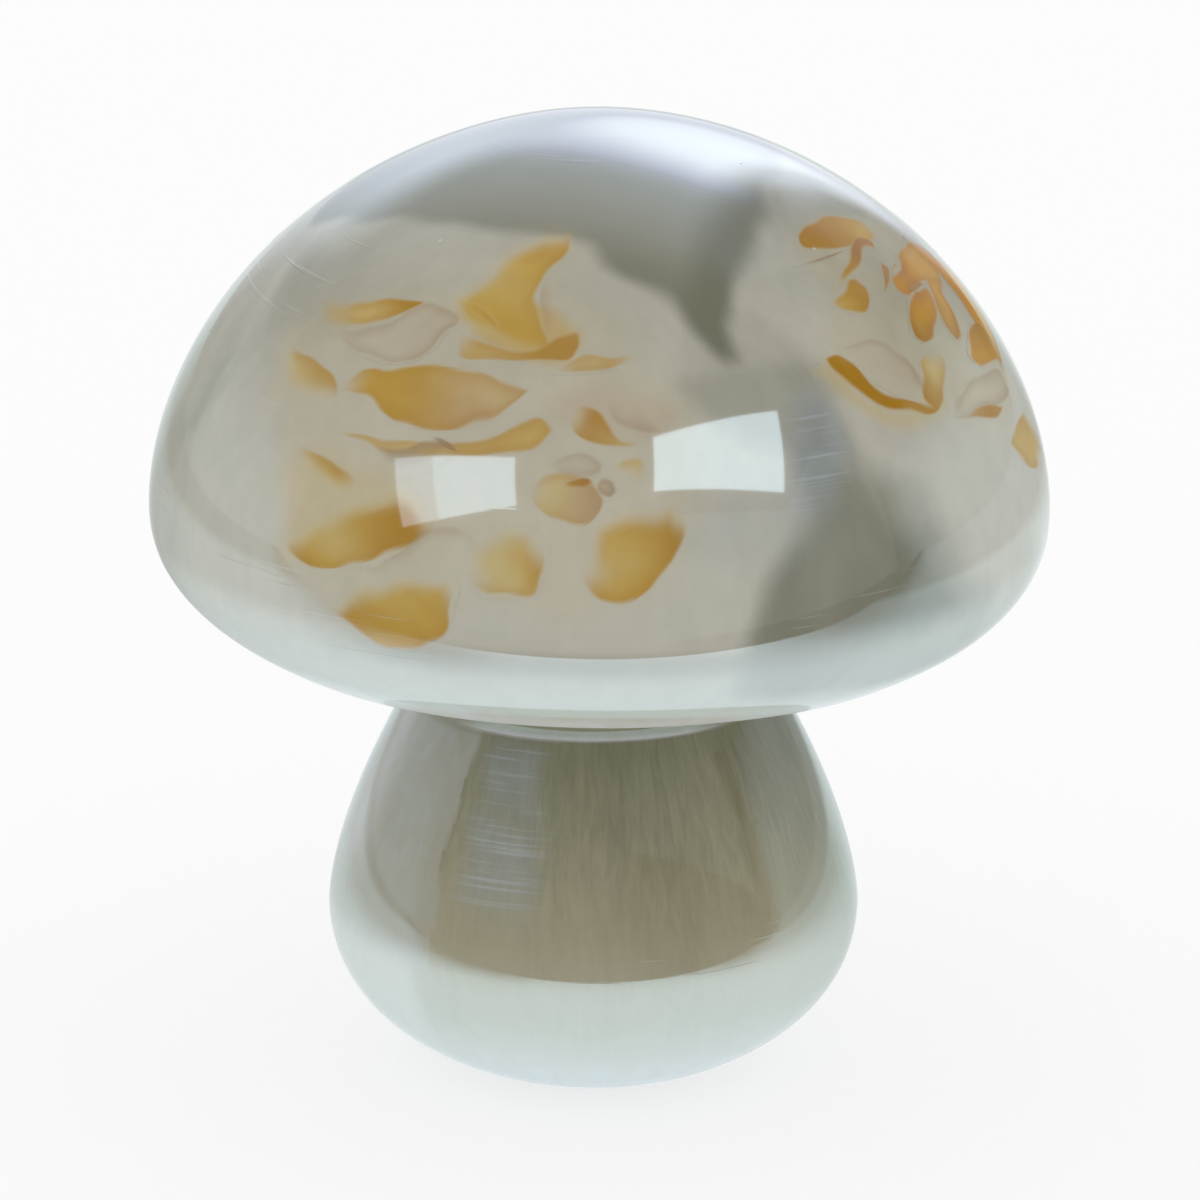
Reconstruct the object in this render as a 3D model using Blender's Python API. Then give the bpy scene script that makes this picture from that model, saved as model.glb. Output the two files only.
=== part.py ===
"""Glass mushroom ornament: a hollow blown cap on a hollow blown stem.

Sizes are in metres, +Z is up and the flat foot rests on Z = 0.  The cap and
the stem meet at the neck, where a thin bead of glass bonds them.  Amber and
rose chips of glass are let into the cap, each in a pocket of its own shape.
Angles of a chip are seen from the middle of the cap: azimuth 0 is the front
(-Y) and grows towards +X, latitude grows from the widest ring to the top.
"""
import math

import bmesh
import bpy
from mathutils import Vector

MM = 0.001

# Cap: a dome above the widest ring and a shallow bowl below it
CAP_RADIUS = 55.0 * MM
DOME_RISE = 48.1 * MM
DOME_POWER = 1.86
BOWL_DROP = 22.4 * MM
BOWL_POWER = 2.25
CAP_WALL = 3.2 * MM
CAP_LEAN = math.radians(0.8)
CAP_SHIFT = 0.5 * MM

# Stem: a round belly on a flat foot, a tapering flank and a rounded shoulder
STEM_RADIUS = 32.9 * MM
FOOT_RADIUS = 15.0 * MM
BELLY_DEPTH = 22.0 * MM
BELLY_POWER = 2.09
FLANK_HEIGHT = 27.0 * MM
FLANK_POWER = 1.52
SHOULDER_STEP = 5.6 * MM
SHOULDER_ROUND = 2.8 * MM
STEM_WALL = 3.0 * MM
FOOT_THICKNESS = 4.5 * MM

# Neck: the stem's spigot in the cap's mouth, with a bead of glass round it
NECK_RADIUS = 17.2 * MM
NECK_RISE = 7.0 * MM
BOND_WIDTH = 2.1 * MM
BOND_THICKNESS = 0.6 * MM

# Chips: their unit of length, their depth, and the gap left round each piece
CHIP_UNIT = CAP_RADIUS / 100.0
CHIP_DEPTH = 1.0 * MM
FIT_GAP = 0.3 * MM
CUT_MARGIN = 1.5 * MM

# Mesh density
CAP_SEGMENTS = 60
STEM_SEGMENTS = 48
DOME_STEPS = 11
BOWL_STEPS = 7
INNER_STEPS = 6
STEM_STEPS = 7
CHIP_POINTS = 10

# Colours of the glass, linear
OPAL = (0.40, 0.38, 0.31)
SMOKE = (0.25, 0.23, 0.16)
STRAW = (0.28, 0.30, 0.20)
AMBER = (0.40, 0.26, 0.07)
ROSE = (0.38, 0.30, 0.24)

# Chips: azimuth and latitude in degrees, length and width in hundredths of
# the cap's radius, turn in degrees from level, bend in the same hundredths,
# fullness of the outline
AMBER_CHIPS = (
    (-14, 46.5, 22.5, 13.5, 80, 0.0, 2.0),
    (-41, 40.0, 18, 4.5, 22, 0.9, 1.6),
    (-48, 27.0, 16.5, 9, -20, 0.0, 2.4),
    (-26, 28.7, 36.5, 12.5, 7, 0.0, 1.6),
    (-1, 34.5, 16.5, 3.5, 13, 0.0, 1.8),
    (-21, 22.0, 40, 3.5, 7, -2.2, 2.0),
    (-41, 17.0, 14.5, 3.5, -18, 0.0, 1.8),
    (-32, 10.5, 34.5, 9, 20, 0.0, 2.0),
    (-26, 0.0, 23.5, 10, -4, 0.0, 2.0),
    (-11, 8.0, 16.5, 12.5, 18, 0.0, 2.2),
    (1, 26.5, 17.5, 7.5, -13, 0.0, 1.7),
    (5, 20.3, 6.5, 4, 4, 0.0, 2.0),
    (6, 9.5, 21, 13.5, 45, 0.0, 2.0),
    (61, 51.5, 18, 7.5, -29, 0.0, 2.6),
    (48, 40.0, 11, 7.5, -3, 0.0, 2.0),
    (73, 42.0, 18, 9, 13, 0.0, 2.4),
    (74, 34.0, 16.5, 4.5, 51, 0.0, 2.0),
    (62, 34.0, 12.5, 8.5, 54, 0.0, 2.0),
    (87, 33.0, 23.5, 9, 77, 0.0, 2.0),
    (79, 24.0, 14.5, 7.5, -13, 0.0, 2.0),
    (42, 27.0, 22, 3.5, -38, -0.9, 2.0),
    (57, 27.0, 12.5, 3.5, 40, 0.0, 2.0),
    (66, 17.0, 16.5, 4, -7, 0.0, 2.0),
    (78, 11.5, 16.5, 8.5, -14, 0.0, 2.0),
    (110, 40.0, 23.5, 11, 30, 0.0, 2.0),
    (126, 22.0, 31, 10, -12, 0.0, 1.7),
    (157, 12.0, 22, 13.5, 40, 0.0, 2.0),
    (173, 35.0, 34.5, 10, 5, 0.0, 1.7),
    (209, 42.0, 22, 12, 75, 0.0, 2.0),
    (225, 23.0, 29, 9, 12, 0.0, 1.8),
    (246, 7.0, 22, 10, -8, 0.0, 2.0),
)
ROSE_CHIPS = (
    (-13, 36.5, 23.5, 3.5, 8, 0.0, 2.2),
    (-36, 35.5, 23.5, 6.5, 13, -0.7, 2.0),
    (-28, 17.6, 11, 4.5, 0, 0.0, 2.0),
    (-20, 5.6, 14.5, 4.5, 24, 0.0, 2.0),
    (-4, 16.8, 14.5, 9, 6, 0.0, 1.8),
    (57, 45.5, 14.5, 3.5, 18, 0.0, 2.0),
    (48, 31.7, 15.5, 6, -44, 0.0, 2.0),
    (68, 22.3, 17.5, 6, -8, 0.0, 2.0),
    (143, 45.0, 20, 9, 15, 0.0, 2.0),
    (192, 17.0, 20, 9, -20, 0.0, 2.0),
    (252, 36.0, 22, 7.5, 20, 0.0, 1.8),
)


def oval_point(radius, height, power, angle):
    """Radius and height of a superellipse at an angle from its widest ring."""
    across = radius * max(math.cos(angle), 0.0) ** (2.0 / power)
    up = height * math.sin(angle) ** (2.0 / power)
    return across, up


def bowl_depth(radius, inset=0.0):
    """Depth of the bowl below the widest ring at a radius from the cap's axis."""
    share = radius / (CAP_RADIUS - inset)
    return (BOWL_DROP - inset) * (1.0 - share ** BOWL_POWER) ** (1.0 / BOWL_POWER)


def bowl_angle(radius, inset=0.0):
    """Angle below the widest ring at which the bowl has a radius."""
    return math.acos((radius / (CAP_RADIUS - inset)) ** (BOWL_POWER / 2.0))


# Heights of the stem and places of the fits, all from the sizes above
foot_share = (FOOT_RADIUS / STEM_RADIUS) ** BELLY_POWER
belly_height = BELLY_DEPTH * (1.0 - foot_share) ** (1.0 / BELLY_POWER)
shoulder_radius = NECK_RADIUS + SHOULDER_STEP
flank_slope = (STEM_RADIUS - shoulder_radius) * FLANK_POWER / FLANK_HEIGHT
shoulder_angle = math.atan(flank_slope)
shoulder_base = belly_height + FLANK_HEIGHT
land_height = shoulder_base + SHOULDER_ROUND * (1.0 - math.sin(shoulder_angle))
mouth_radius = NECK_RADIUS + FIT_GAP + CAP_SHIFT + NECK_RISE * math.sin(CAP_LEAN)
bond_radius = mouth_radius + BOND_WIDTH
lean_room = bond_radius * math.sin(CAP_LEAN)
seat_height = land_height + lean_room + BOND_THICKNESS + 2.0 * FIT_GAP
axis_rise = bowl_depth(mouth_radius)
cap_centre_z = seat_height + axis_rise * math.cos(CAP_LEAN)
stem_x = -(CAP_SHIFT + axis_rise * math.sin(CAP_LEAN))


def flank_radius(share):
    """Outer radius of the stem at a share of the way from belly to shoulder."""
    return STEM_RADIUS - (STEM_RADIUS - shoulder_radius) * share ** FLANK_POWER


def cap_profile():
    """Outside of the cap from the top to the mouth, then the inside back up."""
    points = []
    for step in range(DOME_STEPS):
        angle = math.pi / 2.0 * (1.0 - step / DOME_STEPS)
        points.append(oval_point(CAP_RADIUS, DOME_RISE, DOME_POWER, angle))
    points[0] = (0.0, DOME_RISE)
    last = bowl_angle(mouth_radius)
    for step in range(BOWL_STEPS + 1):
        across, down = oval_point(CAP_RADIUS, BOWL_DROP, BOWL_POWER, last * step / BOWL_STEPS)
        points.append((across, -down))
    last = bowl_angle(mouth_radius, CAP_WALL)
    for step in range(INNER_STEPS):
        angle = last * (1.0 - step / INNER_STEPS)
        across, down = oval_point(CAP_RADIUS - CAP_WALL, BOWL_DROP - CAP_WALL, BOWL_POWER, angle)
        points.append((across, -down))
    for step in range(INNER_STEPS):
        angle = math.pi / 2.0 * step / INNER_STEPS
        points.append(oval_point(CAP_RADIUS - CAP_WALL, DOME_RISE - CAP_WALL, DOME_POWER, angle))
    points.append((0.0, DOME_RISE - CAP_WALL))
    return points


def stem_profile():
    """Outside of the stem from the foot to the neck, then the inside back down."""
    points = [(0.0, 0.0)]
    first = math.acos((FOOT_RADIUS / STEM_RADIUS) ** (BELLY_POWER / 2.0))
    for step in range(STEM_STEPS):
        angle = first * (1.0 - step / STEM_STEPS)
        across, down = oval_point(STEM_RADIUS, BELLY_DEPTH, BELLY_POWER, angle)
        points.append((across, belly_height - down))
    points[1] = (FOOT_RADIUS, 0.0)
    for step in range(STEM_STEPS):
        share = step / STEM_STEPS
        points.append((flank_radius(share), belly_height + FLANK_HEIGHT * share))
    round_x = shoulder_radius - SHOULDER_ROUND * math.cos(shoulder_angle)
    round_z = shoulder_base - SHOULDER_ROUND * math.sin(shoulder_angle)
    for step in range(5):
        angle = shoulder_angle + (math.pi / 2.0 - shoulder_angle) * step / 4
        across = round_x + SHOULDER_ROUND * math.cos(angle)
        points.append((across, round_z + SHOULDER_ROUND * math.sin(angle)))
    bore = NECK_RADIUS - STEM_WALL
    top = land_height + NECK_RISE
    points.append((NECK_RADIUS, land_height))
    points.append((NECK_RADIUS, top - STEM_WALL / 4.0))
    points.append((NECK_RADIUS - STEM_WALL / 4.0, top))
    points.append((bore + STEM_WALL / 4.0, top))
    points.append((bore, top - STEM_WALL / 4.0))
    points.append((bore, land_height - STEM_WALL / 3.0))
    points.append((bore + STEM_WALL / 2.0, land_height - STEM_WALL))
    for step in range(STEM_STEPS):
        share = (1.0 - STEM_WALL / FLANK_HEIGHT) * (1.0 - step / STEM_STEPS)
        points.append((flank_radius(share) - STEM_WALL, belly_height + FLANK_HEIGHT * share))
    reach = min((belly_height - FOOT_THICKNESS) / (BELLY_DEPTH - STEM_WALL), 1.0)
    last = math.asin(reach ** (BELLY_POWER / 2.0))
    for step in range(STEM_STEPS):
        angle = last * step / (STEM_STEPS - 1)
        across, down = oval_point(STEM_RADIUS - STEM_WALL, BELLY_DEPTH - STEM_WALL, BELLY_POWER, angle)
        points.append((across, belly_height - down))
    points.append((0.0, points[-1][1]))
    return points


def bond_profile():
    """Ring that follows the bowl's underside round the neck, a gap below it."""
    rings = [mouth_radius + BOND_WIDTH * step / 3 for step in range(4)]
    below = [(ring, -bowl_depth(ring) - FIT_GAP - BOND_THICKNESS) for ring in rings]
    above = [(ring, -bowl_depth(ring) - FIT_GAP) for ring in reversed(rings)]
    return below + above


def lathe(name, profile, segments, closed=False):
    """Turn a profile round Z; points on the axis become single poles."""
    shape = bmesh.new()
    rings = []
    for across, up in profile:
        if across == 0.0:
            rings.append([shape.verts.new((0.0, 0.0, up))])
            continue
        ring = []
        for step in range(segments):
            angle = 2.0 * math.pi * step / segments
            ring.append(shape.verts.new((across * math.cos(angle), across * math.sin(angle), up)))
        rings.append(ring)
    pairs = list(zip(rings, rings[1:]))
    if closed:
        pairs.append((rings[-1], rings[0]))
    for here, there in pairs:
        for step in range(segments):
            corners = [here[step % len(here)], here[(step + 1) % len(here)]]
            corners += [there[(step + 1) % len(there)], there[step % len(there)]]
            shape.faces.new(list(dict.fromkeys(corners)))
    return finish(name, shape)


def finish(name, shape):
    """Make an object of a closed bmesh with its faces outward and smooth."""
    bmesh.ops.recalc_face_normals(shape, faces=shape.faces)
    for face in shape.faces:
        face.smooth = True
    mesh = bpy.data.meshes.new(name)
    shape.to_mesh(mesh)
    shape.free()
    piece = bpy.data.objects.new(name, mesh)
    bpy.context.scene.collection.objects.link(piece)
    return piece


def cap_surface(ray):
    """Point of the cap's outside that lies along a ray from the cap's middle."""
    height, power = (DOME_RISE, DOME_POWER) if ray.z >= 0.0 else (BOWL_DROP, BOWL_POWER)
    across = math.hypot(ray.x, ray.y) / CAP_RADIUS
    up = abs(ray.z) / height
    return ray / (across ** power + up ** power) ** (1.0 / power)


def cap_normal(point):
    """Outward direction of the cap's outside at one of its points."""
    height, power = (DOME_RISE, DOME_POWER) if point.z >= 0.0 else (BOWL_DROP, BOWL_POWER)
    across = math.hypot(point.x, point.y)
    side = (across / CAP_RADIUS) ** (power - 1.0) / CAP_RADIUS / across
    up = math.copysign((abs(point.z) / height) ** (power - 1.0) / height, point.z)
    return Vector((point.x * side, point.y * side, up)).normalized()


def chip_outline(chip, grow, share):
    """Points of a chip's bent superellipse outline, drawn in by a share."""
    half_length = chip[2] * CHIP_UNIT / 2.0 + grow
    half_width = chip[3] * CHIP_UNIT / 2.0 + grow
    points = []
    for step in range(CHIP_POINTS):
        angle = 2.0 * math.pi * (step + 0.5) / CHIP_POINTS
        along = math.copysign(abs(math.cos(angle)) ** (2.0 / chip[6]), math.cos(angle))
        wide = math.copysign(abs(math.sin(angle)) ** (2.0 / chip[6]), math.sin(angle))
        sag = chip[5] * CHIP_UNIT * (1.0 - along * along)
        points.append((along * half_length * share, wide * half_width * share + sag))
    return points


def chip_body(name, chip, grow, rise, depth):
    """Tile that follows the cap's outside between a rise and a depth."""
    azimuth = math.radians(chip[0])
    latitude = math.radians(chip[1])
    turn = math.radians(chip[4])
    level = Vector((math.sin(azimuth), -math.cos(azimuth), 0.0))
    centre = cap_surface(level * math.cos(latitude) + Vector((0.0, 0.0, math.sin(latitude))))
    east = Vector((math.cos(azimuth), math.sin(azimuth), 0.0))
    north = cap_normal(centre).cross(east)
    long_way = east * math.cos(turn) + north * math.sin(turn)
    cross_way = north * math.cos(turn) - east * math.sin(turn)
    shape = bmesh.new()

    def place(along, wide, lift):
        on_cap = cap_surface(centre + long_way * along + cross_way * wide)
        return shape.verts.new(on_cap + cap_normal(on_cap) * lift - centre)

    layers = []
    for lift in (rise, -depth):
        middle = place(0.0, chip[5] * CHIP_UNIT, lift)
        inner = [place(along, wide, lift) for along, wide in chip_outline(chip, grow, 0.55)]
        outer = [place(along, wide, lift) for along, wide in chip_outline(chip, grow, 1.0)]
        layers.append(outer)
        for step in range(CHIP_POINTS):
            after = (step + 1) % CHIP_POINTS
            shape.faces.new((middle, inner[step], inner[after]))
            shape.faces.new((inner[step], outer[step], outer[after], inner[after]))
    top, bottom = layers
    for step in range(CHIP_POINTS):
        after = (step + 1) % CHIP_POINTS
        shape.faces.new((top[step], bottom[step], bottom[after], top[after]))
    piece = finish(name, shape)
    piece.location = centre
    return piece


def glass(piece, colour, roughness):
    """Give a piece its own opaque, glossy glass material."""
    material = bpy.data.materials.new(piece.name)
    material.use_nodes = True
    shader = material.node_tree.nodes["Principled BSDF"]
    shader.inputs["Base Color"].default_value = (*colour, 1.0)
    shader.inputs["Roughness"].default_value = roughness
    shader.inputs["Metallic"].default_value = 0.0
    piece.data.materials.append(material)


def let_in(cap, cutters, name, chip, colour):
    """Add one chip on the cap and the hidden cutter of its pocket."""
    piece = chip_body(name, chip, 0.0, 0.0, CHIP_DEPTH)
    piece.parent = cap
    glass(piece, colour, 0.1)
    cutter = chip_body(name + "_pocket", chip, FIT_GAP, CUT_MARGIN, CHIP_DEPTH + FIT_GAP)
    cutter.parent = cap
    cutter.hide_render = True
    cutter.display_type = "WIRE"
    bpy.context.scene.collection.objects.unlink(cutter)
    cutters.objects.link(cutter)


def build():
    """Build the cap, the stem, the bond and the chips."""
    for old in list(bpy.data.objects):
        bpy.data.objects.remove(old)

    stem = lathe("stem_shell", stem_profile(), STEM_SEGMENTS)
    stem.location = (stem_x, 0.0, 0.0)
    glass(stem, SMOKE, 0.12)

    cap = lathe("cap_shell", cap_profile(), CAP_SEGMENTS)
    cap.location = (0.0, 0.0, cap_centre_z)
    cap.rotation_euler = (0.0, CAP_LEAN, 0.0)
    glass(cap, OPAL, 0.08)

    bond = lathe("neck_bond", bond_profile(), STEM_SEGMENTS, closed=True)
    bond.parent = cap
    glass(bond, STRAW, 0.15)

    cutters = bpy.data.collections.new("pocket_cutters")
    bpy.context.scene.collection.children.link(cutters)
    for number, chip in enumerate(AMBER_CHIPS, 1):
        let_in(cap, cutters, f"amber_chip_{number:02d}", chip, AMBER)
    for number, chip in enumerate(ROSE_CHIPS, 1):
        let_in(cap, cutters, f"rose_chip_{number:02d}", chip, ROSE)

    pockets = cap.modifiers.new("pockets", "BOOLEAN")
    pockets.operation = "DIFFERENCE"
    pockets.solver = "EXACT"
    pockets.operand_type = "COLLECTION"
    pockets.collection = cutters


build()
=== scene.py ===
"""Glass mushroom ornament: fine lustre-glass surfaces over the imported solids.

The cap, the stem, the bead at the neck and every let-in chip get a smooth
surface worked out from formulas, and a small studio stands round them.
All sizes are in metres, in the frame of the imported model, with the front of
the ornament towards -Y.
"""

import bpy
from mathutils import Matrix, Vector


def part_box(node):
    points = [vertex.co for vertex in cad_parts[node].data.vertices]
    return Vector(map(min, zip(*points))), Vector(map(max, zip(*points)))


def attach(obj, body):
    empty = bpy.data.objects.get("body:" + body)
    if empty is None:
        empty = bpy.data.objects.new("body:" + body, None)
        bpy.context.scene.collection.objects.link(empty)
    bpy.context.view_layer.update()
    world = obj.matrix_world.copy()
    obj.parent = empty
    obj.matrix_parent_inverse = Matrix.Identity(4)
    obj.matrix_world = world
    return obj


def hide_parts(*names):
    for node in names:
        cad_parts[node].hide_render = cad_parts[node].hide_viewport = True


bl_info = {
    "name": "Glass Mushroom Ornament",
    "version": (1, 0, 0),
    "blender": (4, 5, 0),
    "location": "View3D > Sidebar > Glass Mushroom",
    "description": "Blown glass mushroom with a pearly lustre, let-in chips and a studio",
    "category": "Add Mesh",
}

import math
from collections import namedtuple

import bpy
import numpy as np

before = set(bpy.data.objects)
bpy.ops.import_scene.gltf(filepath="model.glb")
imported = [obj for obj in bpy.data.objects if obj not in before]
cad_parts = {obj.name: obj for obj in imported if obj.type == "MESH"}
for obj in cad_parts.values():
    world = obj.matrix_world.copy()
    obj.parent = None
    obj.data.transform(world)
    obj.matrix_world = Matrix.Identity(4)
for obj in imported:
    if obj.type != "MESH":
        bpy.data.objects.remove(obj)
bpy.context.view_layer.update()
cap_low, cap_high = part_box("cap_shell")
stem_low, stem_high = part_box("stem_shell")

MM = 0.001

# Columns and rows of the meshes, and steps of the chips' outlines
CAP_COLUMNS = 336
DOME_ROWS = 111
BOWL_ROWS = 90
CAP_INSIDE_ROWS = 16
STEM_COLUMNS = 288
SOLE_ROWS = 8
BELLY_ROWS = 70
FLANK_ROWS = 70
SHOULDER_ROWS = 20
INNER_FLANK_ROWS = 16
INNER_BELLY_ROWS = 14
BEAD_ROWS = 33
BEAD_BACK_ROWS = 5
CHIP_ROWS = 60
CHIP_COLUMNS = 18
OUTLINE_STEPS = 41
PLAIN_STEPS = 6

# Small fits: the flat of the foot as shares of its radius, the slope of the bowl's level part, the
# bead's overlap at its ends and round the neck, and the chips' depth, its share at their edges,
# their lift and spread, the bows of plain ones, and how far a point has to face a patch
SOLE_SPAN = (0.1, 0.96)
LEVEL_SLOPE = 0.2
BEAD_OVERLAP = 0.4 * MM
BEAD_GRIP = 0.1 * MM
CHIP_DEPTH = 0.75 * MM
CHIP_EDGE_SHARE = 0.1
LAYER_STEP = 0.008 * MM
CHIP_SPREAD = 1.08
UPPER_BOW = 0.8
LOWER_BOW = 1.25
FACING_SHARE = 0.1

# Edges of the chips: how far the sides wander, and how wide crisp, soft and deep edges are, with
# the most that these take of the chip's width or length, how strongly crisp sides deepen, what is
# left of a rose chip's cover in its middle, and between which shares of the way and of the cover
# the end's tone and the thick glass's tone set in
WANDER = 0.35 * MM
WANDER_SHARE = 0.05
OUTER_EDGE = 0.25 * MM
CRISP_EDGE = 0.7 * MM
CRISP_SHARE = 0.25
SOFT_SIDE = 3.6 * MM
SOFT_SIDE_SHARE = 0.60
SOFT_END = 5.0 * MM
SOFT_END_SHARE = 0.40
DEEP_EDGE = 2.2 * MM
DEEP_LINE = 0.3 * MM
AMBER_DEPTH = 0.40
ROSE_DEPTH = 0.60
ROSE_MIDDLE = 0.45
END_TONE = (0.30, 0.95)
THICK_TONE = (0.10, 0.90)
ROSE_TONES = ("rose", "plum", "taupe")

# Seeded soft waves: how far they swing, about how long they are, and their seed
Wave = namedtuple("Wave", "swing size seed")
CAP_SWELL = (Wave(0.8, 55.0 * MM, 21), Wave(0.12, 22.0 * MM, 22))
STEM_SWELL = Wave(1.0, 50.0 * MM, 41)
STEM_CLOUDS = Wave(0.08, 12.0 * MM, 42)
STEM_SWAY = (Wave(0.006, 14.0 * MM, 44), Wave(0.004, 5.0 * MM, 45))
GREY_EDGE = Wave(1.4, 7.0 * MM, 46)
# Waves of the stem's stretch of painted softbox glare over hair scratches
GLARE_WEAR_CLOUDS = Wave(0.35, 9.0 * MM, 43)
GLARE_WEAR_EDGE = Wave(2.0, 12.0 * MM, 47)
PATCH_DRIFT = tuple(Wave(0.9 * MM, 11.0 * MM, seed) for seed in (31, 32, 33))
CHIP_DRIFT = tuple(Wave(1.0, 5.0 * MM, seed) for seed in (51, 52))
CHIP_THICKNESS = Wave(0.30, 9.0 * MM, 53)

# Painted zones: strength, then azimuths in degrees and heights between which it rises, and falls
# again where four are given.  The milk goes by latitude in degrees, the rest of the cap by depth
# below its widest ring, and the stem by shares of its shoulder's height
Zone = namedtuple("Zone", "strength turns heights")
MILK = 0.80
# Painted light: more milk towards the bowl, for light thrown up from the table
MILK_TABLE_BOUNCE = Zone(0.20, None, (48.0, 5.0))
MILK_THINNED = (
    Zone(0.45, None, (46.0, 62.0)),
    Zone(0.40, (35.0, 70.0, 100.0, 130.0), (18.0, 42.0)),
    Zone(0.40, (-35.0, -70.0, -100.0, -130.0), (18.0, 42.0)),
    Zone(0.30, (-58.0, -78.0, -100.0, -130.0), (40.0, 20.0)),
)
SMOKE_THINNED = Zone(0.45, None, (1.0 * MM, 6.0 * MM))
CAP_RIM = Zone(0.25, None, (3.0 * MM, 7.5 * MM))
CAP_FRONT_BAND = Zone(0.50, (46.0, 22.0), (1.5 * MM, 3.5 * MM, 4.0 * MM, 7.0 * MM))
# Painted reflection of the white table on the cap's turned-in underside
CAP_UNDERSIDE_REFLECTION = Zone(0.85, None, (10.5 * MM, 14.5 * MM))
STEM_MILK = 0.98
# Painted shade: less milk towards the stem's top, under the cap
STEM_SHADE_UNDER_CAP = Zone(0.70, None, (0.42, 1.0))
STEM_SEEN = Zone(1.0, (170.0, 95.0), None)
STEM_GREY = Zone(0.64, None, (0.36, 0.44))
STEM_GREY_TOP = Zone(0.30, None, (0.70, 0.95))
STEM_GREY_TURN = -37.0
STEM_GREY_BLUR = (0.6, -0.8)
STEM_SHADE = Zone(0.36, (38.0, 62.0), (0.30, 0.50))
# Painted reflection of the white table: the stem's far sides, low left, foot and front of its land
STEM_FAR_LEFT = Zone(0.60, (-58.0, -76.0), (0.45, 0.70))
STEM_FAR_RIGHT = Zone(0.40, (66.0, 105.0), None)
STEM_LOW_LEFT = Zone(0.35, (-38.0, -46.0), (0.12, 0.30, 0.37, 0.47))
STEM_BELOW_LAND = Zone(1.0, None, (1.0, 0.97))
STEM_FOOT = (Zone(0.12, None, (0.56, 0.36)), Zone(0.95, None, (0.34, 0.0)))
STEM_LAND = Zone(1.0, None, (0.988, 0.995))
STEM_FRONT = Zone(1.0, (54.0, 30.0), None)
STEM_FRONT_TURN = -2.0
STEM_STRAW = 0.35
# Painted softbox glare on the stem, and its stretch over hair scratches: strengths, middle, zone
STEM_GLARE = 0.40
GLARE_WEAR = 0.75
GLARE_WEAR_TURN = -23.0
GLARE_WEAR_ZONE = Zone(1.0, (14.0, 4.0), (0.48, 0.68, 0.93, 1.0))

# Looks of the glass: stretch of its grain along X, Y and Z, scales of its textures, hair scratches
# on the scratched stretches, painted bright there as glints, seeds, bumps, the bead's milk, and tones
PEARL_WAY = (1.0, 1.0, 0.6)
STREAK_WAY = (12.0, 12.0, 2.6)
CLOUD_WAY = np.array([1.0, 1.0, 0.25])
WISP_SCALE = 75.0
DEPTH_SCALE = 230.0
GRAIN_SCALE = 420.0
HAIR_WAY = (45.0, 45.0, 2400.0)
HAIR_PATCH_SCALE = 38.0
SEED_SCALE = 85.0
CAP_HAIRS = 0.6
STEM_HAIRS = 0.38
SEED_STRENGTH = 0.6
BUMP_STRENGTH = 0.25
BUMP_DISTANCE = 0.1 * MM
BEAD_MILK = 0.6
LUSTRE_IOR = 2.6
LUSTRE_TINT = (0.70, 0.91, 1.0, 1.0)
TINT_SHADE = (0.95, 0.91, 0.85, 1.0)
GRAIN_TONE = (0.30, 0.30, 0.26, 1.0)
HAIR_GLINT_TONE = (0.62, 0.66, 0.70, 1.0)
SEED_TONE = (0.75, 0.75, 0.72, 1.0)
WHITE = (1.0, 1.0, 1.0, 1.0)
BLACK = (0.0, 0.0, 0.0, 1.0)

Patch = namedtuple("Patch", "tone azimuth latitude strength blur outline fade", defaults=(None,))

# Patches in the milky cap: tone, azimuth and latitude of the middle in degrees, strength, width
# of the blurred edge, the outline in millimetres east and north of the middle, and for a patch
# that fades towards one side the turn of that way, where the fade starts and where it ends
SMOKE = (
    Patch("smoke", -1.8, 65.6, 1, 1.7, (
        (-42.5, 9.5), (-26.0, 1.5), (-17.0, -3.5), (-10.5, -7.5), (-4.5, -10.0), (-0.5, -11.5),
        (3.0, -14.0), (6.5, -17.5), (10.0, -20.5), (13.5, -24.0), (16.5, -26.5), (18.0, -26.0),
        (18.5, -19.5), (17.5, -13.0), (18.5, -8.0), (20.5, -4.5), (21.5, 1.0), (22.0, 5.5),
        (24.5, 17.0), (24.0, 32.0), (14.0, 46.0), (-6.0, 52.0), (-28.0, 46.0), (-44.0, 32.0),
        (-50.0, 20.0))),
    Patch("smoke", 33.1, 8.3, 0.86, 2.2, (
        (-5.0, 13.0), (-2.5, 18.0), (8.0, 18.0), (20.0, 8.0), (34.0, -8.0), (38.0, -20.0),
        (15.0, -23.5), (-2.0, -21.0), (-16.0, -17.5), (-14.5, -9.5), (-12.0, -4.5), (-10.0, -1.0),
        (-7.5, 3.0), (-6.0, 7.0)), (44, 4.5, 14.5)),
    Patch("smoke", 24, 30.5, 0.35, 2.4, (
        (-2.5, 4.5), (10.0, 1.5), (12.0, -1.0), (9.0, -5.0), (3.5, -7.5), (-9.0, -1.0), (-9.5, 2.0),
        (-6.5, 4.0))),
    Patch("smoke", -70.6, 19, 0.28, 2.6, ((-1.5, -5.5), (-0.5, 4.0), (0.5, 5.5), (2.5, 1.0), (2.5, -4.5))),
    Patch("smoke", 140, 22, 0.8, 3, (
        (-4.0, 30.0), (2.0, 14.0), (9.0, 2.0), (13.0, -9.0), (4.0, -16.0), (-9.0, -14.0), (-12.0, -2.0),
        (-7.0, 14.0))),
    Patch("smoke", 232, 26, 0.8, 2.4, (
        (6.0, 30.0), (9.0, 14.0), (6.0, 2.0), (8.0, -12.0), (-2.0, -20.0), (-10.0, -8.0), (-6.0, 6.0),
        (-4.0, 20.0))),
)
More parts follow.
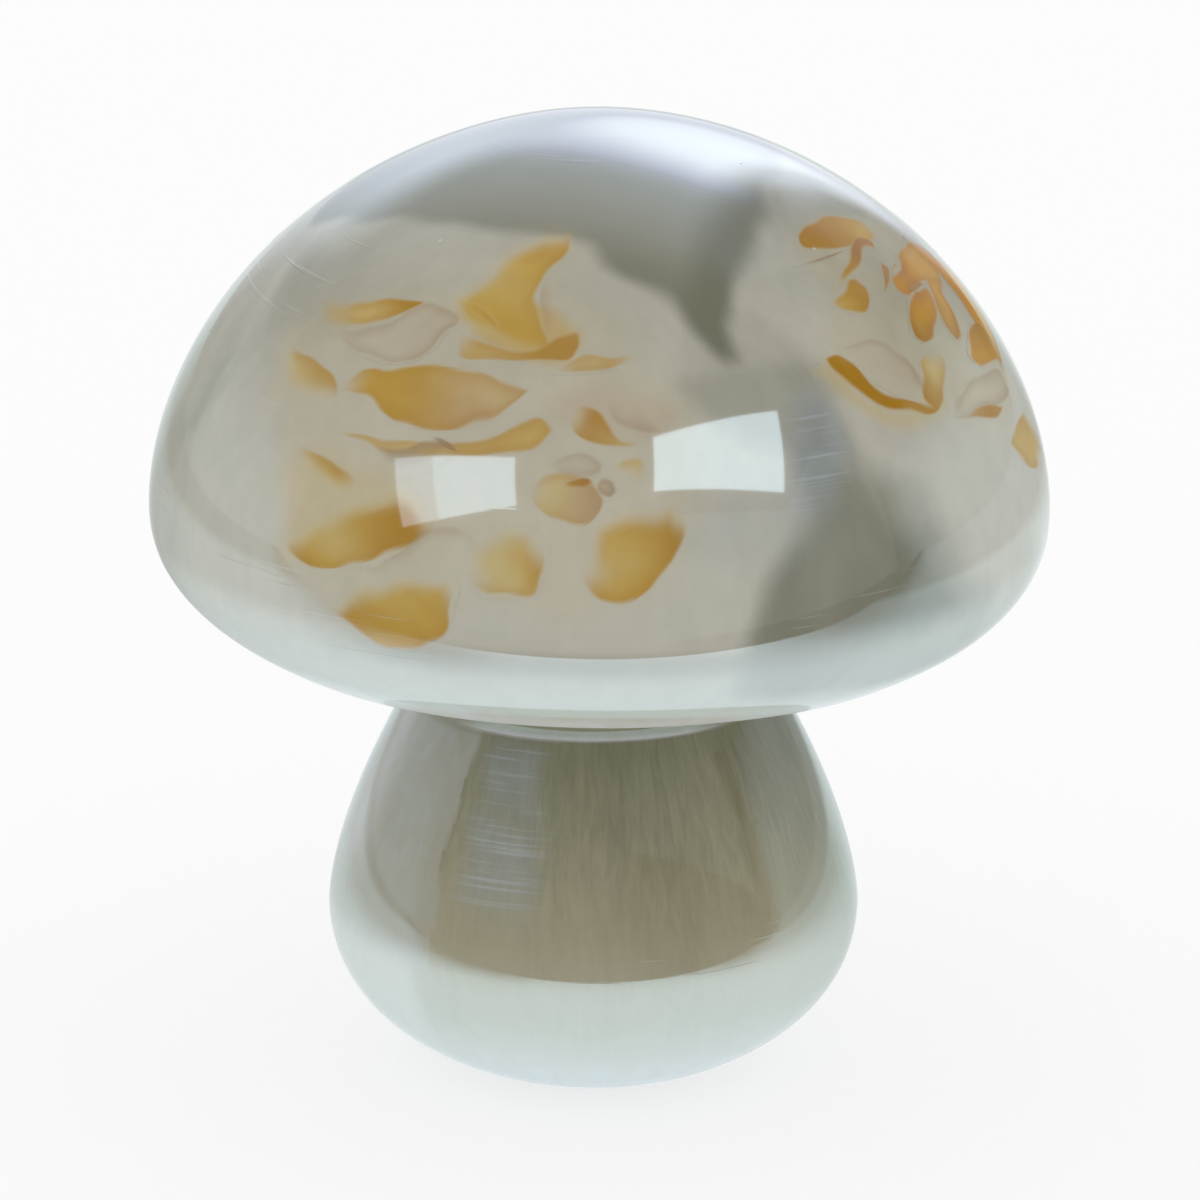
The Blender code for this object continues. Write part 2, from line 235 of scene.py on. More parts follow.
# Washes of colour over the cap's glass, written the same way; the bluish ones are painted
# glare where the studio's lights are mirrored
VEILS = (
    Patch("softbox_glare", 29.9, 21.2, 0.5, 2.4, (
        (-1.5, 6.5), (1.5, 6.0), (4.5, 1.5), (3.5, -3.0), (0.0, -6.5), (-3.5, -7.0))),
    Patch("softbox_glare", -1.8, 65.6, 0.16, 3.5, (
        (13.0, 5.0), (20.0, 5.0), (20.0, -5.0), (16.5, -13.0), (13.5, -12.0), (12.0, -4.0))),
    Patch("softbox_glare", 16.9, 12.7, 0.26, 3.2, (
        (-8.5, 2.5), (-4.0, 3.5), (8.5, 2.5), (9.0, -1.0), (5.5, -4.0), (-2.0, -3.5), (-8.0, -1.0))),
    Patch("honey", -20.1, 24.3, 0.16, 4, (
        (-34.0, 12.5), (-25.5, 17.0), (-7.0, 19.0), (5.0, 31.0), (11.0, 19.5), (21.0, 14.0),
        (29.0, 4.5), (33.0, -7.5), (27.5, -20.5), (3.0, -22.0), (-16.5, -26.0), (-26.0, -18.0),
        (-28.5, -3.5))),
    Patch("honey", -32.8, 13, 0.4, 2.4, (
        (-10.5, 5.0), (5.0, 4.0), (10.5, 1.0), (7.5, -3.5), (-2.5, -4.0), (-9.0, -7.0), (-10.5, -1.0))),
    Patch("honey", 58.8, 36.4, 0.2, 3, (
        (-1.5, 16.5), (15.0, 12.5), (25.0, 6.5), (20.5, -6.5), (20.0, -14.5), (11.0, -18.5),
        (-6.0, -13.0), (-16.0, -8.0), (-16.5, -1.0), (-10.0, 5.0), (-7.5, 12.5))),
    Patch("amber", -12.8, 38.7, 0.65, 1.2, (
        (-6.5, 1.0), (-3.5, 4.0), (1.0, 5.0), (4.0, 0.5), (6.5, -1.0), (6.0, -2.5), (0.0, -3.0),
        (-4.5, -2.0))),
    Patch("rose", 1.7, 28.4, 0.3, 2.4, (
        (-6.5, 1.5), (-1.5, 3.0), (4.0, 2.5), (6.5, -1.5), (4.0, -3.0), (-1.5, -2.5), (-6.0, -1.0))),
    Patch("honey", 43.8, 26.5, 0.45, 0.9, (
        (-8.5, 5.0), (-5.0, 6.5), (-2.5, 0.5), (3.0, -2.5), (9.5, -3.0), (10.0, -4.0), (1.5, -3.5),
        (-4.5, -0.5))),
    Patch("amber", -47.6, 37.5, 0.55, 1.3, (
        (-5.0, 0.5), (-1.5, 1.5), (3.0, 1.5), (4.0, 0.0), (0.5, -1.5), (-3.0, -1.0))),
)
# The first glare patch also holds the cap's hair scratches, painted bright as glints
GLINT_WEAR_PATCH = VEILS[0]

# Chips of glass in the cap: azimuth and latitude of the middle in degrees, the glass at the
# start and at the end, strength, soft sides (a start, b end, u upper, l lower), then the
# outline in millimetres east and north of the middle: the upper side from start to end, and
# the lower side between the same ends
Chip = namedtuple("Chip", "name azimuth latitude start end strength soft upper lower")
SEEN_CHIPS = (
    Chip("amber_chip_01", -14, 45, "amber", "amber", 1, "u",
         ((3.0, 10.0), (-1.0, 8.5), (-4.5, 5.5), (-7.5, 1.0), (-9.5, -1.0), (1.5, -9.0), (4.0, -9.0)),
         ((3.0, 6.0), (1.5, 2.5), (1.0, -0.5), (2.0, -4.0), (3.5, -6.0))),
    Chip("amber_fleck_01", -22, 41, "amber", "dark", 0.8, "abul",
         ((-5.2, 1.8), (0.0, 1.2), (2.2, -0.4), (4.6, -3.4)),
         ((-0.2, -1.0), (2.2, -2.6))),
    Chip("rose_fleck_01", -9, 43, "rose", "rose", 0.45, "uab",
         ((-1.4, 5.0), (0.2, 3.0), (1.6, -4.6)),
         ((-2.0, 2.0), (-1.4, -2.0), (0.4, -5.0))),
    Chip("rose_chip_01", -13, 37, "amber", "dark", 0.85, "a",
         ((-8.6, 1.4), (-2.2, -0.6), (1.8, -0.2), (3.4, 1.4), (5.4, 2.2), (6.2, 0.4)),
         ((-7.2, -2.0), (-2.6, -2.4), (2.8, -2.0), (5.6, -1.4))),
    Chip("amber_chip_02", -41, 39, "amber", "dark", 1, "a",
         ((-6.0, -3.0), (-5.0, -0.5), (-2.0, 1.0), (1.0, 2.0), (5.5, 2.5)),
         ((-2.5, -3.0), (0.5, -2.0))),
    Chip("rose_chip_02", -35, 37, "taupe", "rose", 0.6, "a",
         ((-10.0, -2.0), (-5.5, -1.0), (-2.0, 0.5), (-0.5, 2.5), (1.5, 4.0), (4.0, 3.5), (6.5, 2.5),
          (6.5, 1.5)),
         ((1.0, -4.5), (3.5, -3.5), (5.0, -1.5), (5.5, 0.5))),
    Chip("amber_chip_03", -48, 27, "honey", "amber", 0.9, "al",
         ((-7.5, 4.0), (1.0, 2.0), (4.0, 1.0), (5.5, -0.5), (6.0, -2.0)),
         ((-3.0, -2.0), (1.0, -2.5))),
    Chip("amber_chip_04", -26, 29, "amber", "rose", 1, "a",
         ((-12.0, -1.0), (-10.5, 1.0), (-6.5, 2.0), (2.0, 3.5), (11.0, 2.0)),
         ((-8.0, -2.0), (-2.0, -4.5), (2.5, -4.5), (6.0, -3.5), (8.0, -2.5))),
    Chip("amber_chip_05", 0, 35, "honey", "amber", 0.85, "ab",
         ((-6.2, -1.6), (-1.6, 1.0), (0.8, 0.6), (2.6, 1.0), (4.4, 0.8)),
         ((-2.8, -1.8), (-0.4, -1.6), (3.0, -0.2))),
    Chip("amber_chip_06", -23, 23, "honey", "amber", 0.92, "a",
         ((-14.5, 0.0), (-10.5, -0.5), (3.5, 0.5), (6.5, 1.5), (8.5, 3.0), (10.5, 4.0), (13.0, 3.0)),
         ((-9.0, -2.0), (5.5, -1.5), (8.0, -1.0), (11.0, 0.0))),
    Chip("rose_chip_03", -26, 20, "plum", "plum", 0.7, "al",
         ((-6.0, -0.5), (-4.5, 1.0), (-1.5, 1.0), (1.5, 2.5), (4.0, 2.5), (5.5, 2.0)),
         ((-3.0, -2.0), (-1.0, -2.5), (2.0, -1.5))),
    Chip("rose_fleck_02", -22, 22, "plum", "rust", 0.75, "a",
         ((-2.2, 1.0), (-0.6, 1.0), (1.0, 0.4), (2.2, -0.6)),
         ((0.6, -0.4),)),
    Chip("amber_chip_07", -39, 16, "honey", "amber", 0.95, "abl",
         ((-6.2, 2.4), (1.2, 1.6), (4.0, 0.6), (5.6, -1.2)),
         ((-3.0, 0.0), (0.4, -1.2), (3.2, -2.0))),
    Chip("amber_chip_08", -32, 10, "amber", "dark", 1, "u",
         ((-10.5, -3.5), (-8.5, -1.5), (1.5, 5.0), (4.0, 6.0), (10.0, 2.5)),
         ((-5.5, -5.0), (2.5, -3.0), (8.5, 0.5))),
    Chip("rose_chip_04", -24, 8, "taupe", "taupe", 0.5, "al",
         ((-11.5, -3.0), (-2.0, 0.0), (2.5, 4.0), (5.0, 4.0), (7.0, 3.5), (8.0, 2.0)),
         ((-8.0, -3.5), (2.5, -2.5), (6.0, -1.0))),
    Chip("amber_chip_09", -25, 1, "amber", "amber", 1, "au",
         ((-10.0, -0.5), (-6.5, 2.0), (4.5, 5.0), (6.5, 4.5), (7.0, 3.0)),
         ((-4.5, -3.5), (-1.0, -4.5), (2.5, -4.0), (5.0, -2.5))),
    Chip("amber_chip_10", -12, 8, "honey", "amber", 0.96, "au",
         ((-4.5, -1.0), (-4.0, 2.0), (-2.0, 4.0), (1.0, 4.5), (3.5, 4.0), (5.0, 2.5)),
         ((-1.5, -3.5), (1.0, -3.5), (3.5, -3.0), (4.5, -0.5))),
    Chip("rose_chip_05", -4, 17, "honey", "rose", 0.85, "a",
         ((-5.0, 0.5), (-3.0, 2.5), (2.0, 2.0), (4.0, 0.0)),
         ((-3.5, -1.5), (-1.0, -3.0), (1.5, -3.5), (3.0, -2.0))),
    Chip("amber_fleck_02", -3, 18, "dark", "rust", 0.9, "al",
         ((-2.8, 0.0), (-1.0, 1.0), (0.8, 1.4), (2.0, 0.8)),
         ((-0.8, -0.4), (1.0, -0.2))),
    Chip("rose_fleck_03", 0, 18, "rose", "plum", 0.8, "a",
         ((-1.2, 0.6), (0.0, 1.4), (1.4, 1.0), (2.0, -0.4)),
         ((-0.2, -0.8), (1.0, -1.2))),
    Chip("rose_fleck_04", -4, 21, "taupe", "plum", 0.5, "a",
         ((-3.4, -0.6), (-1.4, 0.8), (1.4, 1.4), (3.6, 0.2)),
         ((-1.4, -1.2), (1.0, -1.6), (3.0, -1.0))),
    Chip("amber_chip_11", 0, 26, "dark", "honey", 0.95, "a",
         ((-4.0, 1.5), (-2.0, 2.5), (-0.5, 2.0), (2.5, -1.5), (5.0, -1.5)),
         ((-3.0, -1.0), (-1.5, -2.0), (1.0, -2.5), (3.0, -2.5))),
    Chip("rose_fleck_05", 5, 28, "taupe", "rose", 0.6, "ua",
         ((-4.5, 2.0), (-2.0, 3.0), (0.5, 2.0), (4.0, -2.5)),
         ((-3.0, -1.0), (1.5, -3.0))),
    Chip("amber_chip_12", 4, 20, "honey", "honey", 0.8, "al",
         ((-2.6, 0.2), (-0.8, 1.6), (0.8, 1.8), (2.0, 0.6)),
         ((-1.2, -0.4), (0.8, -1.0))),
    Chip("amber_chip_13", 4, 11, "amber", "dark", 1, "au",
         ((-6.0, -2.0), (-5.0, 2.0), (-2.0, 4.0), (1.0, 4.5), (4.5, 5.0), (6.5, 3.5)),
         ((-5.0, -5.0), (-3.5, -6.0), (-1.0, -6.5), (1.5, -5.0), (5.0, -0.5))),
    Chip("amber_chip_14", 62, 51, "dark", "amber", 1, "b",
         ((-6.5, 1.5), (-4.0, 2.5), (-2.0, 2.5), (7.0, -0.5), (8.5, -2.0)),
         ((-7.5, 0.5), (-0.5, -3.0), (3.5, -3.5))),
    Chip("rose_chip_06", 59, 45, "rust", "amber", 1, "b",
         ((5.2, 0.0), (6.0, 1.8), (4.6, 3.0), (1.0, 2.4), (-2.4, 0.6), (-7.4, -1.2)),
         ((4.4, 0.8), (3.2, 1.0), (1.0, 0.0), (-1.6, -1.0), (-4.6, -1.6))),
    Chip("rose_fleck_06", 50, 48, "plum", "plum", 0.7, "a",
         ((-5.4, -0.4), (6.4, 0.0)),
         ((-2.4, -0.8), (1.4, -0.8))),
    Chip("amber_chip_15", 50, 40, "amber", "dark", 0.95, "a",
         ((-4.5, 0.5), (3.0, 2.0), (3.5, 1.0), (2.5, -0.5)),
         ((-2.0, -1.5), (0.0, -2.0))),
    Chip("amber_fleck_03", 61, 41, "rust", "amber", 0.9, "b",
         ((2.4, 2.6), (3.0, 1.4), (1.6, -0.2), (-1.0, -1.2), (-3.4, -1.6)),
         ((-0.2, 0.0),)),
    Chip("amber_chip_16", 74, 40, "orange", "orange", 1, "",
         ((-4.5, 2.0), (7.5, 2.0), (9.0, 0.5), (4.0, -3.5)),
         ((-7.0, 0.5), (-7.5, -1.0), (-6.5, -2.0), (-4.0, -1.5))),
    Chip("amber_chip_17", 72, 33, "orange", "dark", 1, "",
         ((1.5, 4.5), (6.0, 3.5), (2.5, 0.5), (0.0, -3.5), (-3.0, -3.5)),
         ((-3.0, -1.5),)),
    Chip("amber_fleck_04", 69, 38, "rust", "rust", 0.8, "b",
         ((-3.6, 0.2), (0.0, 0.6), (2.0, 0.4), (3.2, -1.0)),
         ((-1.4, -0.4), (1.4, -0.4))),
    Chip("amber_chip_18", 64, 34, "orange", "dark", 1, "",
         ((2.0, 3.5), (5.5, 2.5), (5.0, 1.0), (2.5, -1.0), (-0.5, -2.5), (-3.5, -2.5)),
         ((-1.0, 2.5), (-3.0, 1.0), (-4.5, -1.0))),
    Chip("amber_chip_19", 84, 32, "orange", "orange", 1, "a",
         ((0.0, 10.0), (4.0, 6.0), (6.0, 2.0), (4.0, -2.5), (0.5, -6.5), (-3.5, -9.0)),
         ((-1.0, 6.5), (-1.0, 3.0), (-4.5, -6.0))),
    Chip("amber_chip_20", 77, 26, "dark", "orange", 1, "",
         ((4.0, 3.0), (4.0, 1.0), (3.0, -2.0), (-1.5, -2.0)),
         ((-2.5, 2.5), (-6.0, 0.5), (-5.0, -1.0))),
    Chip("amber_chip_21", 45, 28, "dark", "dark", 1, "",
         ((-6.0, 4.5), (-4.0, 4.5), (0.0, -1.0), (3.0, -2.5), (6.5, -3.5), (10.5, -3.0)),
         ((-6.0, 3.0), (-5.0, 1.0), (-3.5, -1.0), (-1.0, -3.0), (2.0, -4.0), (6.5, -5.0))),
    Chip("amber_chip_22", 56, 26, "honey", "dark", 0.95, "a",
         ((3.0, 3.5), (4.5, 2.0), (2.5, -0.5), (0.5, -2.5), (-2.0, -3.0)),
         ((-0.5, 2.5), (-2.0, 0.5), (-3.0, -1.5))),
    Chip("rose_chip_07", 48, 30, "taupe", "rose", 0.6, "l",
         ((-6.0, 3.5), (-3.0, 3.5), (0.0, 3.5), (2.5, 2.0), (4.5, -2.5), (4.5, -5.5)),
         ((-3.5, -1.0), (-1.5, -3.0), (1.5, -5.0))),
    Chip("rose_chip_08", 66, 21, "taupe", "rose", 0.65, "a",
         ((-9.0, 0.5), (-5.0, 2.0), (-0.5, 3.0), (4.5, 2.5), (9.5, 1.0), (9.5, -0.5), (6.0, -2.0)),
         ((-6.5, -0.5),)),
    Chip("amber_chip_23", 66, 19, "dark", "dark", 1, "a",
         ((-6.4, 1.6), (-1.4, 1.4), (2.4, 0.8), (5.4, -0.4)),
         ((-2.8, 0.2), (1.2, -1.0))),
    Chip("amber_chip_24", 78, 12, "amber", "amber", 0.95, "u",
         ((2.5, 3.5), (5.0, 1.0), (6.0, -3.0), (1.5, -4.0)),
         ((-5.0, 3.0), (-7.5, 2.0), (-6.0, -0.5))),
)
# Chips on the hidden side: the same, with the length, width and turn of a plain outline
PLAIN_CHIPS = (
    ("amber_chip_25", 110, 40, "orange", "amber", 0.9, "a", 14.0, 6.8, 30),
    ("amber_chip_26", 126, 22, "amber", "rose", 0.9, "u", 18.5, 6.2, -12),
    ("rose_chip_09", 143, 45, "taupe", "rose", 0.7, "a", 12.5, 5.8, 15),
    ("amber_chip_27", 157, 12, "amber", "amber", 0.95, "u", 13.0, 8.6, 40),
    ("amber_chip_28", 173, 35, "amber", "rose", 0.95, "a", 21.0, 6.4, 5),
    ("rose_chip_10", 192, 17, "rose", "plum", 0.7, "a", 12.0, 5.8, -20),
    ("amber_chip_29", 209, 42, "amber", "dark", 0.95, "u", 13.6, 7.6, 75),
    ("amber_chip_30", 225, 23, "honey", "amber", 0.85, "al", 17.8, 5.8, 12),
    ("amber_chip_31", 246, 7, "amber", "amber", 0.9, "au", 13.0, 6.4, -8),
    ("rose_chip_11", 252, 36, "taupe", "rose", 0.7, "a", 13.0, 4.6, 20),
)

# Softboxes of the studio: name, brightness, tint, and corners in their order round the card
SOFTBOXES = (
    ("softbox_left_edge", 0.62, (1.0, 0.90, 0.96),
     ((-0.47, -0.27, 0.41), (-0.385, -0.325, 0.44), (-0.39, -0.445, 0.292), (-0.48, -0.40, 0.25))),
    ("softbox_left", 0.85, (0.97, 0.97, 1.0),
     ((-0.385, -0.325, 0.44), (-0.21, -0.44, 0.50), (-0.21, -0.53, 0.38), (-0.39, -0.445, 0.292))),
    ("softbox_right", 1.05, (0.97, 0.98, 1.0),
     ((0.12, -0.43, 0.54), (0.41, -0.22, 0.515), (0.45, -0.375, 0.345), (0.13, -0.54, 0.415))),
)

# Dark flags that keep the softboxes off the stem: corners across and up, in one upright plane
FLAG_PLACE = -0.08
FLAG_TONE = (0.078, 0.072, 0.062)
FLAGS = (
    ("flag_left", (
        (-0.24, 0.06), (-0.02, 0.06), (-0.02, 0.098), (-0.064, 0.092), (-0.10, 0.115), (-0.24, 0.17))),
    ("flag_right", (
        (0.012, 0.06), (0.24, 0.06), (0.24, 0.19), (0.11, 0.15), (0.062, 0.104), (0.012, 0.098))),
)
# Dark flag under the bowl, which the stem mirrors as painted shade in place of the bowl: its gap
# to the glass, how far below the widest ring it starts, its tone
UNDER_FLAG_GAP = 0.4 * MM
UNDER_FLAG_START = 9.0 * MM
UNDER_FLAG_TONE = (0.06, 0.058, 0.045)

# Bright wall behind, as the glass mirrors it: its middle, tones by closeness to that, colours by
# tone, and what is left of it on the far right
WALL_MIDDLE = (0.24, 0.893, 0.38)
WALL_STOPS = (
    (0.40, 0.06), (0.55, 0.13), (0.65, 0.24), (0.72, 0.33), (0.80, 0.42), (0.86, 0.50), (0.885, 0.58),
    (0.90, 0.66), (0.915, 0.77), (0.93, 1.05), (0.945, 1.35), (0.96, 1.68), (0.975, 2.05), (1.0, 2.35),
)
WALL_TONES = (
    (0.15, (1.35, 1.00, 0.85)),
    (0.50, (1.12, 1.00, 1.03)),
    (0.85, (1.15, 1.00, 1.25)),
    (2.10, (1.17, 1.00, 1.04)),
)
WALL_RIGHT = 0.13
# Tone of the bright low band behind, and sides and tones of the dim walls beside the ornament
BAND_TONE = (1.62, 1.44, 1.58, 1.0)
SIDE_WALLS = ((-1.0, 0.20), (1.0, 0.22))
TABLE_TONE = (0.92, 0.92, 0.92, 1.0)
TABLE_SEEN = 0.7
SENSOR_WIDTH = 36.0
GLOSS_RAYS = ("Is Glossy Ray", "Is Transmission Ray")
CAMERA_RAYS = ("Is Camera Ray",)


def length(name, text, default):
    """Length property with a name and a description."""
    return bpy.props.FloatProperty(name=name, description=text, default=default, unit="LENGTH", precision=5)


def number(name, text, default):
    """Plain number property with a name and a description."""
    return bpy.props.FloatProperty(name=name, description=text, default=default)


def angle(name, text, degrees):
    """Angle property with a name and a description."""
    return bpy.props.FloatProperty(
        name=name, description=text, default=math.radians(degrees), subtype="ANGLE"
    )


def colour(name, text, default):
    """Colour property with a name and a description."""
    return bpy.props.FloatVectorProperty(
        name=name, description=text, default=default, subtype="COLOR", size=3, min=0.0, max=1.0
    )


class CapShape(bpy.types.PropertyGroup):
    """Sizes of the cap."""

    radius: length("Radius", "Radius of the widest ring", (cap_high.y - cap_low.y) / 2.0)
    dome_rise: length("Dome rise", "Height of the dome above the widest ring", 48.1 * MM)
    dome_power: number("Dome power", "Roundness of the dome's section", 1.86)
    bowl_drop: length("Bowl drop", "Depth of the bowl below the widest ring", 22.4 * MM)
    bowl_power: number("Bowl power", "Roundness of the bowl's section", 2.25)
    wall: length("Wall", "Thickness of the glass", 3.2 * MM)
    mouth: length("Mouth", "Radius of the mouth round the neck", 18.1 * MM)
    top: length("Top", "Height of the cap's top above the table", cap_high.z)
    lean: angle("Lean", "Lean of the cap towards +X", 0.8)
    tuck: length("Tuck", "Depth below the widest ring where the bowl turns level", 14.5 * MM)
    tuck_depth: length("Tuck depth", "How much deeper the bowl goes while it turns level", 0.5 * MM)
    waviness: length("Waviness", "Depth of the blown unevenness", 0.12 * MM)


class StemShape(bpy.types.PropertyGroup):
    """Sizes of the stem and of the bead at its neck."""

    axis: length("Axis", "Place of the stem's axis along X", (stem_low.x + stem_high.x) / 2.0)
    radius: length("Radius", "Radius of the belly", (stem_high.y - stem_low.y) / 2.0)
    foot: length("Foot", "Radius of the flat foot", 15.0 * MM)
    belly_depth: length("Belly depth", "Depth of the belly below its widest ring", 22.0 * MM)
    belly_power: number("Belly power", "Roundness of the belly's section", 2.09)
    flank_height: length("Flank height", "Height from the belly to the shoulder", 27.9 * MM)
    flank_power: number("Flank power", "Curve of the flank", 1.52)
    neck: length("Neck", "Radius of the neck inside the cap's mouth", 17.2 * MM)
    neck_rise: length("Neck rise", "Height of the neck above the shoulder", 7.0 * MM)
    shoulder_step: length("Shoulder step", "Width of the shoulder beside the neck", 5.6 * MM)
    shoulder_round: length("Shoulder round", "Radius of the shoulder's edge", 0.8 * MM)
    wall: length("Wall", "Thickness of the glass", 3.0 * MM)
    floor: length("Floor", "Thickness of the glass at the foot", 4.5 * MM)
    bead: length("Bead", "Radius of the bead's waist at the neck", 19.6 * MM)
    flare: length("Flare", "How far the bead spreads at its ends", 1.0 * MM)
    waviness: length("Waviness", "Depth of the blown unevenness", 0.15 * MM)


class GlassColours(bpy.types.PropertyGroup):
    """Colours of the glass."""

    cream: colour("Cream", "Milky patches of the cap", (0.72, 0.69, 0.58))
    smoke: colour("Smoke", "Glass between the milky patches", (0.25, 0.25, 0.18))
    # Painted glare of the softboxes on the glass
    softbox_glare: colour("Haze", "Bluish haze on the glass", (0.43, 0.50, 0.54))
    rim: colour("Rim", "Glass round the cap's lower edge", (0.37, 0.345, 0.30))
    # Painted reflection of the white table
    table_reflection: colour("Frost", "Clear rims that show the table", (0.93, 0.94, 0.95))
    # Smoky glass of the stem; it is also laid on as painted shade at the top and on the right
    stem: colour("Stem", "Glass of the stem at its top", (0.25, 0.235, 0.14))
    stem_grey: colour("Grey stem", "Paler glass on the stem's left", (0.54, 0.54, 0.47))
    stem_pale: colour("Pale stem", "Glass of the stem at its belly", (0.50, 0.455, 0.29))
    straw: colour("Straw", "Bead at the neck", (0.86, 0.80, 0.50))
    honey: colour("Honey", "Pale amber chips", (0.76, 0.60, 0.26))
    amber: colour("Amber", "Amber chips", (0.70, 0.455, 0.08))
    dark: colour("Dark amber", "Thick amber chips", (0.54, 0.28, 0.02))
    orange: colour("Orange", "Orange chips", (0.72, 0.36, 0.01))
    rust: colour("Rust", "Red-brown chips", (0.44, 0.17, 0.03))
    rose: colour("Rose", "Rose chips", (0.60, 0.43, 0.27))
    plum: colour("Plum", "Plum chips", (0.42, 0.30, 0.17))
    taupe: colour("Taupe", "Grey-rose chips", (0.68, 0.60, 0.46))


class StudioSettings(bpy.types.PropertyGroup):
    """Camera, table and light."""

    distance: length("Camera distance", "Distance from the camera to the ornament", 0.85)
    elevation: angle("Camera elevation", "Height of the camera above level", 17.5)
    aim: length("Aim", "Height that the camera looks at", 58.4 * MM)
    lens: number("Lens", "Focal length in millimetres on a 36 mm sensor", 207.3)
    table_edge: length("Table edge", "Front edge of the table that the glass mirrors", -0.14)
    reach: length("Reach", "How far the floor goes", 2.5)
    ambient: number("Ambient", "Strength of the soft light from all sides", 1.0)


def smooth_step(low, high, value):
    """Smooth ramp from 0 at low to 1 at high."""
    share = np.clip((value - low) / (high - low), 0.0, 1.0)
    return share * share * (3.0 - 2.0 * share)


def zone_cover(zone, turns, heights):
    """Strength of a zone times its ramps: between two levels, or a rise and a fall between four."""
    cover = zone.strength
    for levels, value in ((zone.turns, turns), (zone.heights, heights)):
        if levels:
            cover = cover * smooth_step(levels[0], levels[1], value)
            if len(levels) > 2:
                cover = cover * smooth_step(levels[3], levels[2], value)
    return cover


def wave_set(wave, count=7):
    """Seeded wave directions over their lengths, and phases, for about one wavelength."""
    draw = np.random.default_rng(wave.seed)
    ways = draw.normal(size=(count, 3))
    ways /= np.linalg.norm(ways, axis=1, keepdims=True)
    lengths = wave.size * draw.uniform(0.7, 1.4, count)
    return ways * 2.0 * np.pi / lengths[:, None], draw.uniform(0.0, 2.0 * np.pi, count)


def soft_waves(points, wave):
    """Sum of a seeded set of sine waves, mostly within the wave's swing."""
    ways, phases = wave_set(wave)
    return wave.swing * np.sin(points @ ways.T + phases).sum(-1) / np.sqrt(len(phases))


def wave_slopes(points, wave):
    """Gradient of soft_waves: cosines of the same waves times their directions."""
    ways, phases = wave_set(wave)
    return wave.swing * np.cos(points @ ways.T + phases) @ ways / np.sqrt(len(phases))


def drift(points, waves):
    """One soft wave along each axis."""
    return np.stack([soft_waves(points, wave) for wave in waves], axis=-1)


def superellipse(radius, height, power, angles):
    """Radius times cosine and height times sine, each to the power 2 / power."""
    across = radius * np.clip(np.cos(angles), 0.0, 1.0) ** (2.0 / power)
    up = height * np.clip(np.sin(angles), 0.0, 1.0) ** (2.0 / power)
    return across, up


def turned(profile, columns):
    """Grid of points: each profile point (radius, height) carried round Z."""
    angles = np.linspace(0.0, 2.0 * np.pi, columns, endpoint=False)
    across = profile[:, 0, None]
    up = np.broadcast_to(profile[:, 1, None], (len(profile), columns))
    return np.stack([across * np.cos(angles), across * np.sin(angles), up], axis=-1)


def link_mesh(name, points, faces):
    """Object of points and faces in the scene."""
    mesh = bpy.data.meshes.new(name)
    mesh.from_pydata(points, [], faces)
    piece = bpy.data.objects.new(name, mesh)
    bpy.context.scene.collection.objects.link(piece)
    return piece


def ring_mesh(name, rings, poles=(), joined=False):
    """Smooth mesh of a grid that closes round its columns.

    Neighbouring rings are joined by quads.  The ends close on a pole point
    each, or on each other when joined, or stay open.  The faces are turned
    outward by the sign of the volume that they enclose.
    """
    rows, columns = rings.shape[:2]
    points = rings.reshape(-1, 3)
    here = np.arange(rows * columns).reshape(rows, columns)
    after = np.roll(here, -1, axis=1)
    quads = np.stack([here[:-1], here[1:], after[1:], after[:-1]], axis=-1).reshape(-1, 4)
    fans = np.zeros((0, 3), dtype=int)
    if joined:
        seam = np.stack([here[-1], here[0], after[0], after[-1]], axis=-1)
        quads = np.concatenate([quads, seam])
    elif len(poles):
        top, bottom = len(points), len(points) + 1
        points = np.concatenate([points, poles])
        first = np.stack([np.full(columns, top), here[0], after[0]], axis=-1)
        last = np.stack([np.full(columns, bottom), after[-1], here[-1]], axis=-1)
        fans = np.concatenate([first, last])
    triangles = np.concatenate([quads[:, [0, 1, 2]], quads[:, [0, 2, 3]], fans])
    corner = points[triangles]
    volume = np.einsum("ij,ij->i", corner[:, 0], np.cross(corner[:, 1], corner[:, 2])).sum()
    if volume < 0.0:
        quads = quads[:, ::-1]
        fans = fans[:, ::-1]
    piece = link_mesh(name, points.tolist(), quads.tolist() + fans.tolist())
    piece.data.polygons.foreach_set("use_smooth", np.ones(len(piece.data.polygons), dtype=bool))
    return piece


def paint(piece, name, values):
    """Keep a number, a place or a colour with a strength for each point of the mesh."""
    kinds = {1: ("FLOAT", "value"), 3: ("FLOAT_VECTOR", "vector"), 4: ("FLOAT_COLOR", "color")}
    kind, field = kinds[1 if values.ndim == 1 else values.shape[1]]
    layer = piece.data.attributes.new(name, kind, "POINT")
    layer.data.foreach_set(field, values.astype(np.float32).ravel())


def piece_points(piece):
    """Places of a piece's points."""
    places = np.empty(len(piece.data.vertices) * 3, dtype=np.float32)
    piece.data.vertices.foreach_get("co", places)
    return places.reshape(-1, 3).astype(float)


def cap_place(shape, points):
    """Points of the cap's own frame leaned about Y and set at its height."""
    cosine, sine = math.cos(shape.lean), math.sin(shape.lean)
    across = points[..., 0] * cosine + points[..., 2] * sine
    up = points[..., 2] * cosine - points[..., 0] * sine + shape.top - shape.dome_rise
    return np.stack([across, points[..., 1], up], axis=-1)


def cap_unplace(shape, points):
    """The cap's own frame of points that stand in the model's frame."""
    cosine, sine = math.cos(shape.lean), math.sin(shape.lean)
    up = points[..., 2] - shape.top + shape.dome_rise
    across = points[..., 0] * cosine - up * sine
    return np.stack([across, points[..., 1], up * cosine + points[..., 0] * sine], axis=-1)


